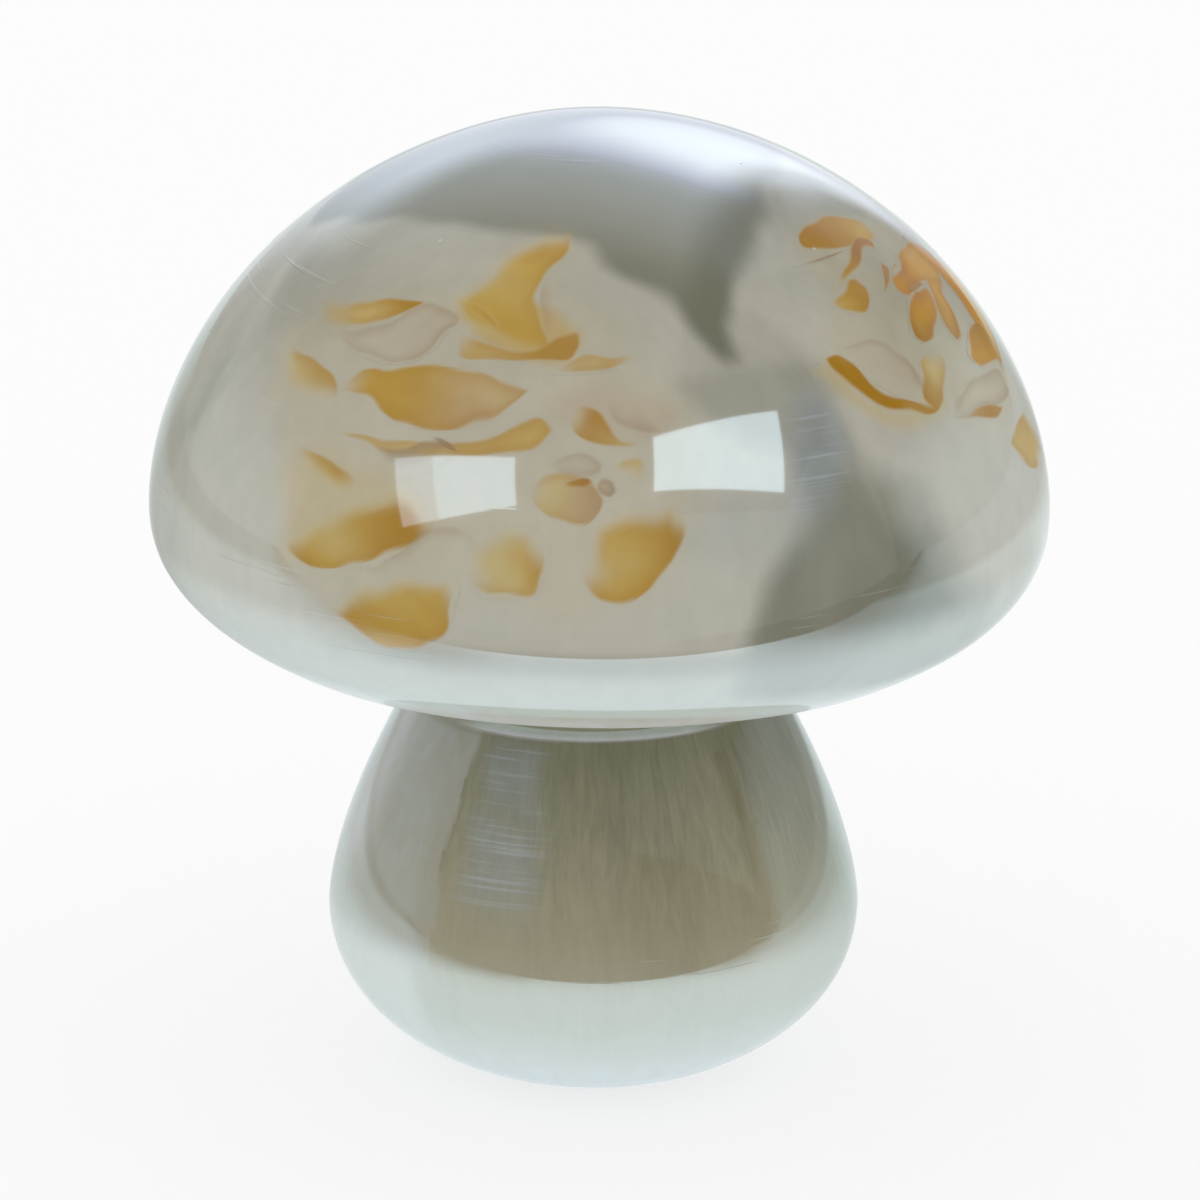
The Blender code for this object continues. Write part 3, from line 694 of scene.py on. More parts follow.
def cap_section(shape, points):
    """Height and power of the section at points: the dome's above the widest ring, else the bowl's."""
    above = points[..., 2] >= 0.0
    height = np.where(above, shape.dome_rise, shape.bowl_drop)
    return height, np.where(above, shape.dome_power, shape.bowl_power)


def cap_normals(shape, points):
    """Outward directions: the gradient of the superellipse that gives the cap."""
    height, power = cap_section(shape, points)
    across = np.maximum(np.hypot(points[..., 0], points[..., 1]), 1e-9)
    side = (across / shape.radius) ** (power - 1.0) / shape.radius / across
    up = np.sign(points[..., 2]) * (np.abs(points[..., 2]) / height) ** (power - 1.0) / height
    normals = np.stack([points[..., 0] * side, points[..., 1] * side, up], axis=-1)
    return normals / np.linalg.norm(normals, axis=-1, keepdims=True)


def cap_uneven(shape, points):
    """The cap's outside moved along its normals by the blown unevenness."""
    swell = sum(soft_waves(points, wave) for wave in CAP_SWELL)
    return points + cap_normals(shape, points) * (swell * shape.waviness)[..., None]


def cap_gloss(shape, points):
    """Normals of the uneven outside: the even ones less the slope of the waves along it."""
    even = cap_normals(shape, points)
    slope = shape.waviness * sum(wave_slopes(points, wave) for wave in CAP_SWELL)
    along = slope - even * (slope * even).sum(-1, keepdims=True)
    return (even - along) / np.linalg.norm(even - along, axis=-1, keepdims=True)


def cap_outside(shape, rays):
    """Points of the uneven outside along rays from the cap's middle.

    A ray meets the superellipse where the sum of its powers is one.
    """
    height, power = cap_section(shape, rays)
    across = np.hypot(rays[..., 0], rays[..., 1]) / shape.radius
    total = across**power + (np.abs(rays[..., 2]) / height) ** power
    return cap_uneven(shape, rays / (total ** (1.0 / power))[..., None])


def patch_frame(shape, patch):
    """Middle of a chip or patch on the cap, and its east, north and outward directions."""
    azimuth, latitude = math.radians(patch.azimuth), math.radians(patch.latitude)
    level = np.array([math.sin(azimuth), -math.cos(azimuth), 0.0])
    middle = cap_outside(shape, level * math.cos(latitude) + np.array([0.0, 0.0, math.sin(latitude)]))
    outward = cap_normals(shape, middle)
    east = np.array([math.cos(azimuth), math.sin(azimuth), 0.0])
    return middle, east, np.cross(outward, east), outward


def flat_places(shape, patch, points):
    """Places of points in a patch's level plane, by rays from the cap's middle, and which face it."""
    middle, east, north, outward = patch_frame(shape, patch)
    facing = points @ outward
    flat = points * (middle @ outward / np.maximum(facing, 1e-6))[:, None] - middle
    faces_it = facing > FACING_SHARE * np.linalg.norm(points, axis=-1)
    return np.stack([flat @ east, flat @ north], axis=-1), faces_it


def smooth_path(points, share):
    """Cubic path through points: Hermite spans by share of the chord length, tangents from neighbours."""
    steps = np.linalg.norm(np.diff(points, axis=0), axis=1)
    knots = np.concatenate([[0.0], np.cumsum(steps)]) / steps.sum()
    slopes = np.gradient(points, knots, axis=0)
    span = np.clip(np.searchsorted(knots, share, side="right") - 1, 0, len(steps) - 1)
    width = (knots[span + 1] - knots[span])[:, None]
    way = (share - knots[span])[:, None] / width
    back = 1.0 - way
    ends = points[span] * (1.0 + 2.0 * way) * back**2 + points[span + 1] * (3.0 - 2.0 * way) * way**2
    return ends + width * (slopes[span] * way * back**2 - slopes[span + 1] * way**2 * back)


def edge_gap(places, path):
    """Distance from places to the nearest point of a path of straight steps."""
    start, step = path[:-1], np.diff(path, axis=0)
    share = ((places[:, None] - start) * step).sum(-1) / np.maximum((step * step).sum(-1), 1e-18)
    near = start + np.clip(share, 0.0, 1.0)[..., None] * step
    return np.linalg.norm(places[:, None] - near, axis=-1).min(axis=1)


def within(places, loop):
    """True where a place lies inside a closed loop, by the even and odd crossings of a level line."""
    start, end = loop, np.roll(loop, -1, axis=0)
    above = (start[:, 1] > places[:, 1, None]) != (end[:, 1] > places[:, 1, None])
    rise = np.where(end[:, 1] == start[:, 1], 1.0, end[:, 1] - start[:, 1])
    crossing = start[:, 0] + (places[:, 1, None] - start[:, 1]) * (end[:, 0] - start[:, 0]) / rise
    return (above & (places[:, 0, None] < crossing)).sum(axis=1) % 2 == 1


def patch_cover(shape, patch, points):
    """Strength of a patch, which rises across the blurred edge of its outline."""
    outline = np.array(patch.outline + patch.outline[:1]) * MM
    path = smooth_path(outline, np.linspace(0.0, 1.0, 4 * len(outline)))
    blur = patch.blur * MM
    places, facing = flat_places(shape, patch, points)
    reach = np.linalg.norm(path, axis=1).max() + blur
    near = facing & (np.linalg.norm(places, axis=1) < reach)
    depth = edge_gap(places[near], path) * np.where(within(places[near], path[:-1]), 1.0, -1.0)
    cover = np.zeros(len(points))
    cover[near] = patch.strength * smooth_step(-blur, blur, depth)
    if patch.fade:
        turn, start, end = patch.fade
        way = np.array([math.cos(math.radians(turn)), math.sin(math.radians(turn))])
        cover[near] *= smooth_step(end * MM, start * MM, places[near] @ way)
    return cover


def turn_of(points):
    """Azimuth of points in degrees, from the front towards +X."""
    return np.degrees(np.arctan2(points[:, 0], -points[:, 1]))


def milk_cover(shape, points):
    """How milky the cap's glass is, 0 to 1.

    The milk thins towards the top, on the upper sides and at the left rim, and grows towards the bowl
    as painted light thrown up from the table.  Smoky patches with wandering edges take from it, and
    less so below the widest ring.
    """
    turn = turn_of(points)
    latitude = np.degrees(np.arctan2(points[:, 2], np.hypot(points[:, 0], points[:, 1])))
    cover = MILK + zone_cover(MILK_TABLE_BOUNCE, turn, latitude)
    for zone in MILK_THINNED:
        cover = cover * (1.0 - zone_cover(zone, turn, latitude))
    clear = 1.0 - zone_cover(SMOKE_THINNED, turn, -points[:, 2])
    moved = points + drift(points, PATCH_DRIFT)
    for patch in SMOKE:
        cover = cover * (1.0 - clear * patch_cover(shape, patch, moved))
    return cover


def coated(coats):
    """Colour and strength of coats, each a hue and its cover, laid over each other in their order."""
    count = len(coats[0][1])
    colour_here, strength = np.zeros((count, 3)), np.zeros(count)
    for hue, cover in coats:
        total = cover + strength * (1.0 - cover)
        share = np.where(total > 0.0, cover / np.maximum(total, 1e-9), 0.0)[:, None]
        colour_here = colour_here * (1.0 - share) + np.array(hue) * share
        strength = total
    return np.column_stack([colour_here, strength])


def cap_coats(shape, glass, points):
    """Coats over the cap's own glass: washes with painted glare, the lower rim, and the table's painted
    reflection on the turned-in underside.
    """
    moved = points + drift(points, PATCH_DRIFT)
    aside, down = np.abs(turn_of(points)), -points[:, 2]
    rim = zone_cover(CAP_RIM, aside, down) + zone_cover(CAP_FRONT_BAND, aside, down)
    underside = zone_cover(CAP_UNDERSIDE_REFLECTION, aside, down)
    washes = [(getattr(glass, patch.tone), patch_cover(shape, patch, moved)) for patch in VEILS]
    return washes + [(glass.rim, rim), (glass.table_reflection, underside)]


def tucked(shape, down):
    """Depth of the bowl, which turns nearly level below the tuck."""
    below = np.maximum(down - shape.tuck, 0.0)
    turn = shape.tuck_depth * (1.0 - np.exp(-below / shape.tuck_depth))
    return np.minimum(down, shape.tuck) + turn + LEVEL_SLOPE * below


def dome_side(shape, wall, rows):
    """Dome from beside the top to above the widest ring, a wall inside the glass's outside."""
    angles = np.linspace(np.pi / 2.0, 0.0, rows)[1:-1]
    section = superellipse(shape.radius - wall, shape.dome_rise - wall, shape.dome_power, angles)
    return np.stack(section, axis=-1)


def bowl_side(shape, wall, rows):
    """Bowl from the widest ring to the mouth, a wall inside the glass's outside."""
    radius = shape.radius - wall
    last = math.acos((shape.mouth / radius) ** (shape.bowl_power / 2.0))
    angles = np.linspace(0.0, last, rows)
    across, down = superellipse(radius, shape.bowl_drop - wall, shape.bowl_power, angles)
    up = wall - tucked(shape, down + wall)
    up[0] = 0.0
    return np.stack([across, up], axis=-1)


def cap_profile(shape):
    """Outside of the cap from near the top to the mouth, then its inside, and the rows of the outside."""
    outside = np.concatenate([dome_side(shape, 0.0, DOME_ROWS), bowl_side(shape, 0.0, BOWL_ROWS)])
    wall, rows = shape.wall, CAP_INSIDE_ROWS
    inside = np.concatenate([dome_side(shape, wall, rows), bowl_side(shape, wall, rows)])
    return np.concatenate([outside, inside[::-1]]), len(outside)


def stem_heights(shape):
    """Height of the belly's widest ring, the shoulder's slope, and the height of its land."""
    foot_share = (shape.foot / shape.radius) ** shape.belly_power
    belly = shape.belly_depth * (1.0 - foot_share) ** (1.0 / shape.belly_power)
    fall = shape.radius - shape.neck - shape.shoulder_step
    slope = math.atan(fall * shape.flank_power / shape.flank_height)
    land = belly + shape.flank_height + shape.shoulder_round * (1.0 - math.sin(slope))
    return belly, slope, land


def stem_belly(shape, wall, angles):
    """Belly at angles below its widest ring: a superellipse, a wall inside the glass's outside."""
    depth = shape.belly_depth - wall
    across, down = superellipse(shape.radius - wall, depth, shape.belly_power, angles)
    return np.stack([across, stem_heights(shape)[0] - down], axis=-1)


def stem_flank(shape, wall, share):
    """Flank at shares of its height: it falls by a power of the height, a wall inside the outside."""
    fall = shape.radius - shape.neck - shape.shoulder_step
    across = shape.radius - fall * share**shape.flank_power - wall
    return np.stack([across, stem_heights(shape)[0] + shape.flank_height * share], axis=-1)


def stem_profile(shape):
    """Outside of the stem from the foot to the neck, then its inside down.

    The shoulder between the flank and the neck is an arc that ends level.
    """
    belly, slope, land = stem_heights(shape)
    sole = np.stack([shape.foot * np.linspace(*SOLE_SPAN, SOLE_ROWS), np.zeros(SOLE_ROWS)], axis=-1)
    foot = math.acos((shape.foot / shape.radius) ** (shape.belly_power / 2.0))
    round_out = stem_belly(shape, 0.0, np.linspace(foot, 0.0, BELLY_ROWS))
    flank = stem_flank(shape, 0.0, np.linspace(0.0, 1.0, FLANK_ROWS)[1:])
    turn = np.linspace(slope, np.pi / 2.0, SHOULDER_ROWS)[1:]
    middle = shape.neck + shape.shoulder_step - shape.shoulder_round * math.cos(slope)
    base = land - shape.shoulder_round
    arc = np.stack([np.cos(turn), np.sin(turn)], axis=-1) * shape.shoulder_round
    shoulder = np.array([middle, base]) + arc
    top = land + shape.neck_rise
    bore = shape.neck - shape.wall
    lip = shape.wall / 4.0
    neck = np.array(
        [
            (shape.neck, land),
            (shape.neck, top - lip),
            (shape.neck - lip, top),
            (bore + lip, top),
            (bore, top - lip),
            (bore, land - shape.wall / 3.0),
            (bore + shape.wall / 2.0, land - shape.wall),
        ]
    )
    inner_top = 1.0 - shape.wall / shape.flank_height
    inner_flank = stem_flank(shape, shape.wall, np.linspace(inner_top, 0.0, INNER_FLANK_ROWS))
    reach = min((belly - shape.floor) / (shape.belly_depth - shape.wall), 1.0)
    last = math.asin(reach ** (shape.belly_power / 2.0))
    inner_belly = stem_belly(shape, shape.wall, np.linspace(0.0, last, INNER_BELLY_ROWS)[1:])
    return np.concatenate([sole, round_out, flank, shoulder, neck, inner_flank, inner_belly])


def stem_uneven(shape, rings):
    """The stem's rings moved outward by the blown unevenness, which ends at foot and shoulder."""
    belly, _, land = stem_heights(shape)
    up = rings[..., 2]
    room = smooth_step(0.1 * belly, 0.6 * belly, up) * smooth_step(land, 0.8 * land, up)
    swell = soft_waves(rings, STEM_SWELL) * shape.waviness * room
    outward = rings[..., :2] / np.linalg.norm(rings[..., :2], axis=-1, keepdims=True)
    return np.concatenate([rings[..., :2] + outward * swell[..., None], rings[..., 2:]], axis=-1)


def stem_lay(shape, places, azimuth):
    """Coordinates for the stem's streaks: on an upright cylinder, with a little sway round it."""
    way = azimuth + sum(soft_waves(places, wave) for wave in STEM_SWAY)
    return np.column_stack([shape.radius * np.sin(way), -shape.radius * np.cos(way), places[:, 2]])


def stem_cover(lay, share):
    """How milky the stem's glass is: pale at the belly, smoky towards the top as painted shade under the
    cap, and a little cloudy.
    """
    cloud = soft_waves(lay * CLOUD_WAY, STEM_CLOUDS)
    return np.clip(STEM_MILK - zone_cover(STEM_SHADE_UNDER_CAP, None, share) + cloud, 0.0, 1.0)


def stem_glare_wear(places, azimuth, share):
    """Strength of the stem's painted softbox glare and hair scratches: a cloudy stretch left of the middle,
    above the belly.
    """
    aside = np.abs(np.degrees(azimuth) - GLARE_WEAR_TURN + soft_waves(places, GLARE_WEAR_EDGE))
    glare_wear = zone_cover(GLARE_WEAR_ZONE, aside, share)
    return np.clip(glare_wear * (GLARE_WEAR + soft_waves(places, GLARE_WEAR_CLOUDS)), 0.0, 1.0)


def stem_coats(glass, places, azimuth, share):
    """Coats over the stem's own glass, by azimuth and by share of its height.

    A paler stretch on the left with a wavy edge, beside it a bluish stretch of painted softbox
    glare over hair scratches, painted shade on the right, the painted reflection of the white table
    on the far sides, low on the left, towards the foot and on the front of the shoulder's land, and
    straw on the rest of the land.
    """
    turn = np.degrees(azimuth)
    seen = zone_cover(STEM_SEEN, np.abs(turn), share)
    below_land = zone_cover(STEM_BELOW_LAND, turn, share)
    edge = STEM_GREY_TURN + soft_waves(places * np.array([0.0, 0.0, 1.0]), GREY_EDGE)
    beyond = smooth_step(*STEM_GREY_BLUR, turn - edge)
    above = zone_cover(STEM_GREY_TOP, turn, share) / STEM_GREY.strength
    grey = zone_cover(STEM_GREY, turn, share) * (1.0 + above) * beyond * below_land
    far_sides = np.maximum(zone_cover(STEM_FAR_LEFT, turn, share), zone_cover(STEM_FAR_RIGHT, turn, share))
    pale = np.maximum(far_sides * below_land, zone_cover(STEM_LOW_LEFT, turn, share))
    foot = sum(zone_cover(zone, turn, share) for zone in STEM_FOOT)
    land = zone_cover(STEM_LAND, turn, share)
    front = zone_cover(STEM_FRONT, np.abs(turn - STEM_FRONT_TURN), share)
    return [
        (glass.stem_grey, seen * grey),
        (glass.softbox_glare, STEM_GLARE * stem_glare_wear(places, azimuth, share)),
        (glass.stem, seen * zone_cover(STEM_SHADE, turn, share)),
        (glass.table_reflection, seen * pale),
        (glass.straw, STEM_STRAW * land * (1.0 - front)),
        (glass.table_reflection, np.maximum(foot, land * front)),
    ]


def plain_chip(name, azimuth, latitude, start, end, strength, soft, size, width, turn):
    """Chip between two bowed sides, the upper one fullest before its middle, the lower one after it."""
    share = np.linspace(0.0, 1.0, PLAIN_STEPS)
    along = size * (share - 0.5)
    upper = along + 0.5j * width * np.sin(np.pi * share**UPPER_BOW)
    lower = along - 0.5j * width * np.sin(np.pi * share**LOWER_BOW)
    upper, lower = (side * np.exp(1j * np.radians(turn)) for side in (upper, lower[1:-1]))
    outline = (np.stack([side.real, side.imag], axis=-1) for side in (upper, lower))
    return Chip(name, azimuth, latitude, start, end, strength, soft, *outline)


CHIPS = SEEN_CHIPS + tuple(plain_chip(*row) for row in PLAIN_CHIPS)


def chip_sides(chip, share):
    """Upper and lower side of a chip's outline at shares of the way, in metres."""
    upper = np.array(chip.upper) * MM * CHIP_SPREAD
    lower = np.concatenate([upper[:1], np.array(chip.lower) * MM * CHIP_SPREAD, upper[-1:]])
    return smooth_path(upper, share), smooth_path(lower, share)


def chip_loop(chip):
    """Upper and lower side of a chip's outline, and the loop that they close."""
    upper, lower = chip_sides(chip, np.linspace(0.0, 1.0, OUTLINE_STEPS))
    return upper, lower, np.concatenate([upper, lower[-2:0:-1]])


def chip_solid(shape, chip, lift):
    """Rings of a chip's thin lens and its two end points, in the cap's own frame.

    Places run from the lower to the upper side of the outline in the chip's
    level plane and are carried to the cap along rays from its middle.  The face
    stands a hair proud of the cap, the back lies inside the wall.
    """
    middle, east, north, _ = patch_frame(shape, chip)
    share = (1.0 - np.cos(np.linspace(0.0, np.pi, CHIP_ROWS + 2))) / 2.0
    upper, lower = chip_sides(chip, share)
    face = np.sin(np.linspace(-np.pi / 2.0, np.pi / 2.0, CHIP_COLUMNS))
    aside = np.concatenate([face, face[-2:0:-1]])
    is_face = np.arange(len(aside)) < CHIP_COLUMNS
    level = lower[:, None] + (upper - lower)[:, None] * (1.0 + aside[:, None]) / 2.0
    flat = middle + level[..., :1] * east + level[..., 1:] * north
    on_cap = cap_outside(shape, flat)
    depth = (4.0 * share * (1.0 - share))[:, None] * (1.0 - aside**2)
    under = -CHIP_DEPTH * (CHIP_EDGE_SHARE + (1.0 - CHIP_EDGE_SHARE) * np.sqrt(depth))
    placed = on_cap + cap_normals(shape, on_cap) * np.where(is_face, lift, under)[..., None]
    return placed[1:-1], placed[[0, -1], 0]


def chip_glass(glass, chip, upper, lower, places, points):
    """Colour and cover of a chip at places inside its outline.

    The cover rises fast from crisp sides and slowly from soft ones, and the
    sides wander a little.  Thin glass shows the pale tone and thick glass its
    own, which changes along the chip and deepens beside crisp sides.
    """
    size = np.linalg.norm(upper[-1] - upper[0])
    width = np.linalg.norm(upper - lower, axis=1).max()
    moved = places + min(WANDER, WANDER_SHARE * width) * drift(points, CHIP_DRIFT)
    gaps = {
        "u": edge_gap(moved, upper),
        "l": edge_gap(moved, lower),
        "a": np.linalg.norm(moved - upper[0], axis=1),
        "b": np.linalg.norm(moved - upper[-1], axis=1),
    }
    soft_side = min(SOFT_SIDE_SHARE * width, SOFT_SIDE)
    soft_end = min(SOFT_END_SHARE * size, SOFT_END)
    outer = np.minimum(edge_gap(places, upper), edge_gap(places, lower))
    cover = smooth_step(0.0, OUTER_EDGE, outer)
    for side, gap in gaps.items():
        if side in chip.soft:
            cover = cover * smooth_step(0.0, soft_side if side in "ul" else soft_end, gap)
        elif side in "ul":
            cover = cover * smooth_step(0.0, min(CRISP_EDGE, CRISP_SHARE * width), gap)
    is_rose = chip.start in ROSE_TONES
    pale = np.array(glass.taupe if is_rose else glass.honey)
    deep = np.array(glass.plum if is_rose else glass.rust if chip.start == "orange" else glass.dark)
    way = (places - upper[0]) @ (upper[-1] - upper[0]) / size**2
    share = smooth_step(*END_TONE, way)[:, None]
    start, end = np.array(getattr(glass, chip.start)), np.array(getattr(glass, chip.end))
    own = start * (1.0 - share) + end * share
    thick = soft_waves(points, CHIP_THICKNESS)[:, None]
    own = own + (deep - own) * np.clip(thick, 0.0, 1.0) + (pale - own) * np.clip(-thick, 0.0, 1.0)
    hue = pale + (own - pale) * smooth_step(*THICK_TONE, cover)[:, None]
    crisp = [gaps[side] for side in "ul" if side not in chip.soft]
    if crisp:
        rim = smooth_step(DEEP_EDGE, DEEP_LINE, np.min(crisp, axis=0))
        hue = hue + (deep - hue) * rim[:, None] * (ROSE_DEPTH if is_rose else AMBER_DEPTH)
        if is_rose:
            cover = cover * (ROSE_MIDDLE + (1.0 - ROSE_MIDDLE) * rim)
    return hue, cover * chip.strength


def chip_coat(shape, glass, chip, points):
    """Coat of a chip at points of the cap: its hue and its cover, none outside its outline."""
    upper, lower, loop = chip_loop(chip)
    places, facing = flat_places(shape, chip, points)
    inside = facing & (np.linalg.norm(places, axis=1) < np.linalg.norm(loop, axis=1).max())
    inside[inside] = within(places[inside], loop)
    hue, cover = np.zeros((len(points), 3)), np.zeros(len(points))
    hue[inside], cover[inside] = chip_glass(glass, chip, upper, lower, places[inside], points[inside])
    return hue, cover


def chip_levels(shape):
    """Level of each chip: one above the highest of the earlier chips that it overlaps."""
    outlines = []
    levels = []
    for chip in CHIPS:
        middle, east, north, _ = patch_frame(shape, chip)
        loop = chip_loop(chip)[2]
        level = 1
        for earlier, under in zip(outlines, levels):
            places, facing = flat_places(shape, chip, earlier)
            if (within(places, loop) & facing).any():
                level = max(level, under + 1)
        outlines.append(middle + loop[:, :1] * east + loop[:, 1:] * north)
        levels.append(level)
    return levels


def new_group(name, inputs, outputs):
    """Empty shader node group with named sockets."""
    group = bpy.data.node_groups.new(name, "ShaderNodeTree")
    for label, kind, value in inputs:
        socket = group.interface.new_socket(label, in_out="INPUT", socket_type=kind)
        if value is not None:
            socket.default_value = value
    for label, kind in outputs:
        group.interface.new_socket(label, in_out="OUTPUT", socket_type=kind)
    return group, group.nodes.new("NodeGroupInput"), group.nodes.new("NodeGroupOutput")


def feed(tree, socket, value):
    """Set a socket to a number or a colour, or link it to another socket."""
    if isinstance(value, (int, float, tuple)):
        socket.default_value = value
    else:
        tree.links.new(value, socket)


def math_node(tree, operation, first, second, clamp=False):
    """Math node whose inputs are numbers or sockets."""
    node = tree.nodes.new("ShaderNodeMath")
    node.operation = operation
    node.use_clamp = clamp
    for socket, value in zip(node.inputs, (first, second)):
        feed(tree, socket, value)
    return node.outputs[0]


def product(tree, first, *others):
    """Product of sockets and numbers."""
    for other in others:
        first = math_node(tree, "MULTIPLY", first, other)
    return first


def mix_colour(tree, factor, first, second, blend="MIX"):
    """Colour mix node whose inputs are values or sockets."""
    node = tree.nodes.new("ShaderNodeMix")
    node.data_type = "RGBA"
    node.blend_type = blend
    for place, value in ((0, factor), (6, first), (7, second)):
        feed(tree, node.inputs[place], value)
    return node.outputs[2]


def vector_node(tree, operation, first, second=None):
    """Outputs of a vector math node."""
    node = tree.nodes.new("ShaderNodeVectorMath")
    node.operation = operation
    tree.links.new(first, node.inputs[0])
    if second is not None:
        node.inputs[1].default_value = second
    return node.outputs


def stretched(tree, vector, scale):
    """Coordinates multiplied by a scale along each axis."""
    return vector_node(tree, "MULTIPLY", vector, scale)["Vector"]


def axis_values(tree, vector):
    """X, Y and Z of a vector."""
    node = tree.nodes.new("ShaderNodeSeparateXYZ")
    tree.links.new(vector, node.inputs[0])
    return tuple(node.outputs)


def noise(tree, vector, scale, detail=3.0, distortion=0.0):
    """Noise texture's value on given coordinates."""
    node = tree.nodes.new("ShaderNodeTexNoise")
    node.inputs["Scale"].default_value = scale
    node.inputs["Detail"].default_value = detail
    node.inputs["Distortion"].default_value = distortion
    tree.links.new(vector, node.inputs["Vector"])
    return node.outputs["Fac"]


def ramp(tree, value, low, high):
    """Smooth step of a value between two levels."""
    node = tree.nodes.new("ShaderNodeMapRange")
    node.interpolation_type = "SMOOTHSTEP"
    tree.links.new(value, node.inputs["Value"])
    node.inputs["From Min"].default_value = low
    node.inputs["From Max"].default_value = high
    return node.outputs["Result"]


def cloudy_glass_group():
    """Milky and smoky glass: a cover broken into wisps mixes two colours under a fine grain."""
    group, start, end = new_group(
        "cloudy_glass",
        (
            ("Coordinates", "NodeSocketVector", None),
            ("Cover", "NodeSocketFloat", 0.5),
            ("Milky", "NodeSocketColor", (0.6, 0.6, 0.5, 1.0)),
            ("Smoky", "NodeSocketColor", (0.2, 0.2, 0.2, 1.0)),
            ("Wisps", "NodeSocketFloat", 1.0),
        ),
        (("Color", "NodeSocketColor"),),
    )
    place, cover = start.outputs["Coordinates"], start.outputs["Cover"]
    wisp = math_node(group, "SUBTRACT", noise(group, place, WISP_SCALE, 4.0, 0.8), 0.5)
    swing = product(group, wisp, start.outputs["Wisps"])
    edge = product(group, cover, math_node(group, "SUBTRACT", 1.0, cover), 4.0, swing)
    cover = math_node(group, "ADD", cover, edge, clamp=True)
    cover = math_node(group, "ADD", cover, product(group, swing, 0.25), clamp=True)
    mixed = mix_colour(group, cover, start.outputs["Smoky"], start.outputs["Milky"])
    grain = ramp(group, noise(group, place, GRAIN_SCALE, 2.0), 0.3, 0.7)
    mixed = mix_colour(group, product(group, grain, 0.08), mixed, GRAIN_TONE)
    group.links.new(mixed, end.inputs["Color"])
    return group


def glass_skin_group():
    """Skin of the glass: level hair scratches in patches and tiny seeds."""
    group, start, end = new_group(
        "glass_skin",
        (
            ("Coordinates", "NodeSocketVector", None),
            ("Polish", "NodeSocketFloat", 0.05),
            ("Scratches", "NodeSocketFloat", 0.2),
        ),
        (
            ("Roughness", "NodeSocketFloat"),
            ("Height", "NodeSocketFloat"),
            ("Seeds", "NodeSocketFloat"),
            ("Hairs", "NodeSocketFloat"),
        ),
    )
    place = start.outputs["Coordinates"]
    lines = noise(group, stretched(group, place, HAIR_WAY), 1.0, 2.0)
    patch = ramp(group, noise(group, place, HAIR_PATCH_SCALE, 2.0), 0.48, 0.66)
    rough = product(group, ramp(group, lines, 0.60, 0.74), patch, start.outputs["Scratches"])
    cells = group.nodes.new("ShaderNodeTexVoronoi")
    cells.inputs["Scale"].default_value = SEED_SCALE
    group.links.new(place, cells.inputs["Vector"])
    seeds = ramp(group, cells.outputs["Distance"], 0.028, 0.012)
    results = {
        "Roughness": math_node(group, "ADD", rough, start.outputs["Polish"]),
        "Height": math_node(group, "ADD", seeds, product(group, rough, 4.0)),
        "Seeds": seeds,
        "Hairs": ramp(group, lines, 0.50, 0.66),
    }
    for label, value in results.items():
        group.links.new(value, end.inputs[label])
    return group


def group_node(tree, group, vector, settings):
    """Place a node group in a material, on its coordinates and with its settings."""
    node = tree.nodes.new("ShaderNodeGroup")
    node.node_tree = bpy.data.node_groups[group]
    tree.links.new(vector, node.inputs["Coordinates"])
    for label, value in settings.items():
        feed(tree, node.inputs[label], value)
    return node.outputs


def painted(tree, name):
    """Outputs of the node that reads what paint kept."""
    node = tree.nodes.new("ShaderNodeAttribute")
    node.attribute_name = name
    return node.outputs


def new_material(name):
    """Material with nodes, and its node tree."""
    material = bpy.data.materials.new(name)
    material.use_nodes = True
    return material, material.node_tree


def lustre_glass(name, milky, smoky, wisps, polish, scratches, grain_way=PEARL_WAY, laid=False):
    """Opaque glass with a pearly lustre: cloudy colour and a tint from the mesh under a strong gloss.

    Laid glass takes its coordinates from the mesh as well.
    """
    material, tree = new_material(name)
    shader = tree.nodes["Principled BSDF"]
    if laid:
        vector = painted(tree, "lay")["Vector"]
    else:
        vector = tree.nodes.new("ShaderNodeTexCoord").outputs["Object"]
    cloud_settings = {
        "Milky": (*milky, 1.0),
        "Smoky": (*smoky, 1.0),
        "Wisps": wisps,
        "Cover": painted(tree, "cover")["Fac"],
    }
    cloud = group_node(tree, "cloudy_glass", stretched(tree, vector, grain_way), cloud_settings)
    skin = group_node(tree, "glass_skin", vector, {"Polish": polish, "Scratches": scratches})
    tint = painted(tree, "tint")
    depth = ramp(tree, noise(tree, vector, DEPTH_SCALE, 3.0, 0.7), 0.25, 0.75)
    shade = mix_colour(tree, depth, tint["Color"], TINT_SHADE, "MULTIPLY")
    base = mix_colour(tree, tint["Alpha"], cloud["Color"], shade)
    # Hair scratches painted bright as glints where the mesh asks for them
    worn = product(tree, skin["Hairs"], painted(tree, "worn")["Fac"])
    base = mix_colour(tree, worn, base, HAIR_GLINT_TONE)
    base = mix_colour(tree, product(tree, skin["Seeds"], SEED_STRENGTH), base, SEED_TONE)
    bump = tree.nodes.new("ShaderNodeBump")
    bump.inputs["Strength"].default_value = BUMP_STRENGTH
    bump.inputs["Distance"].default_value = BUMP_DISTANCE
    tree.links.new(skin["Height"], bump.inputs["Height"])
    surface = {
        "Base Color": base,
        "Roughness": skin["Roughness"],
        "Normal": bump.outputs["Normal"],
        "IOR": LUSTRE_IOR,
        "Specular IOR Level": 1.0,
        "Specular Tint": LUSTRE_TINT,
    }
    for label, value in surface.items():
        feed(tree, shader.inputs[label], value)
    return material


def finish_piece(piece, material, slot, *nodes):
    """Dress a piece, and let it ride and stand for its nodes. The name of its finish is not used."""
    piece.data.materials.append(material)
    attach(piece, "root")
    if nodes:
        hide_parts(*nodes)


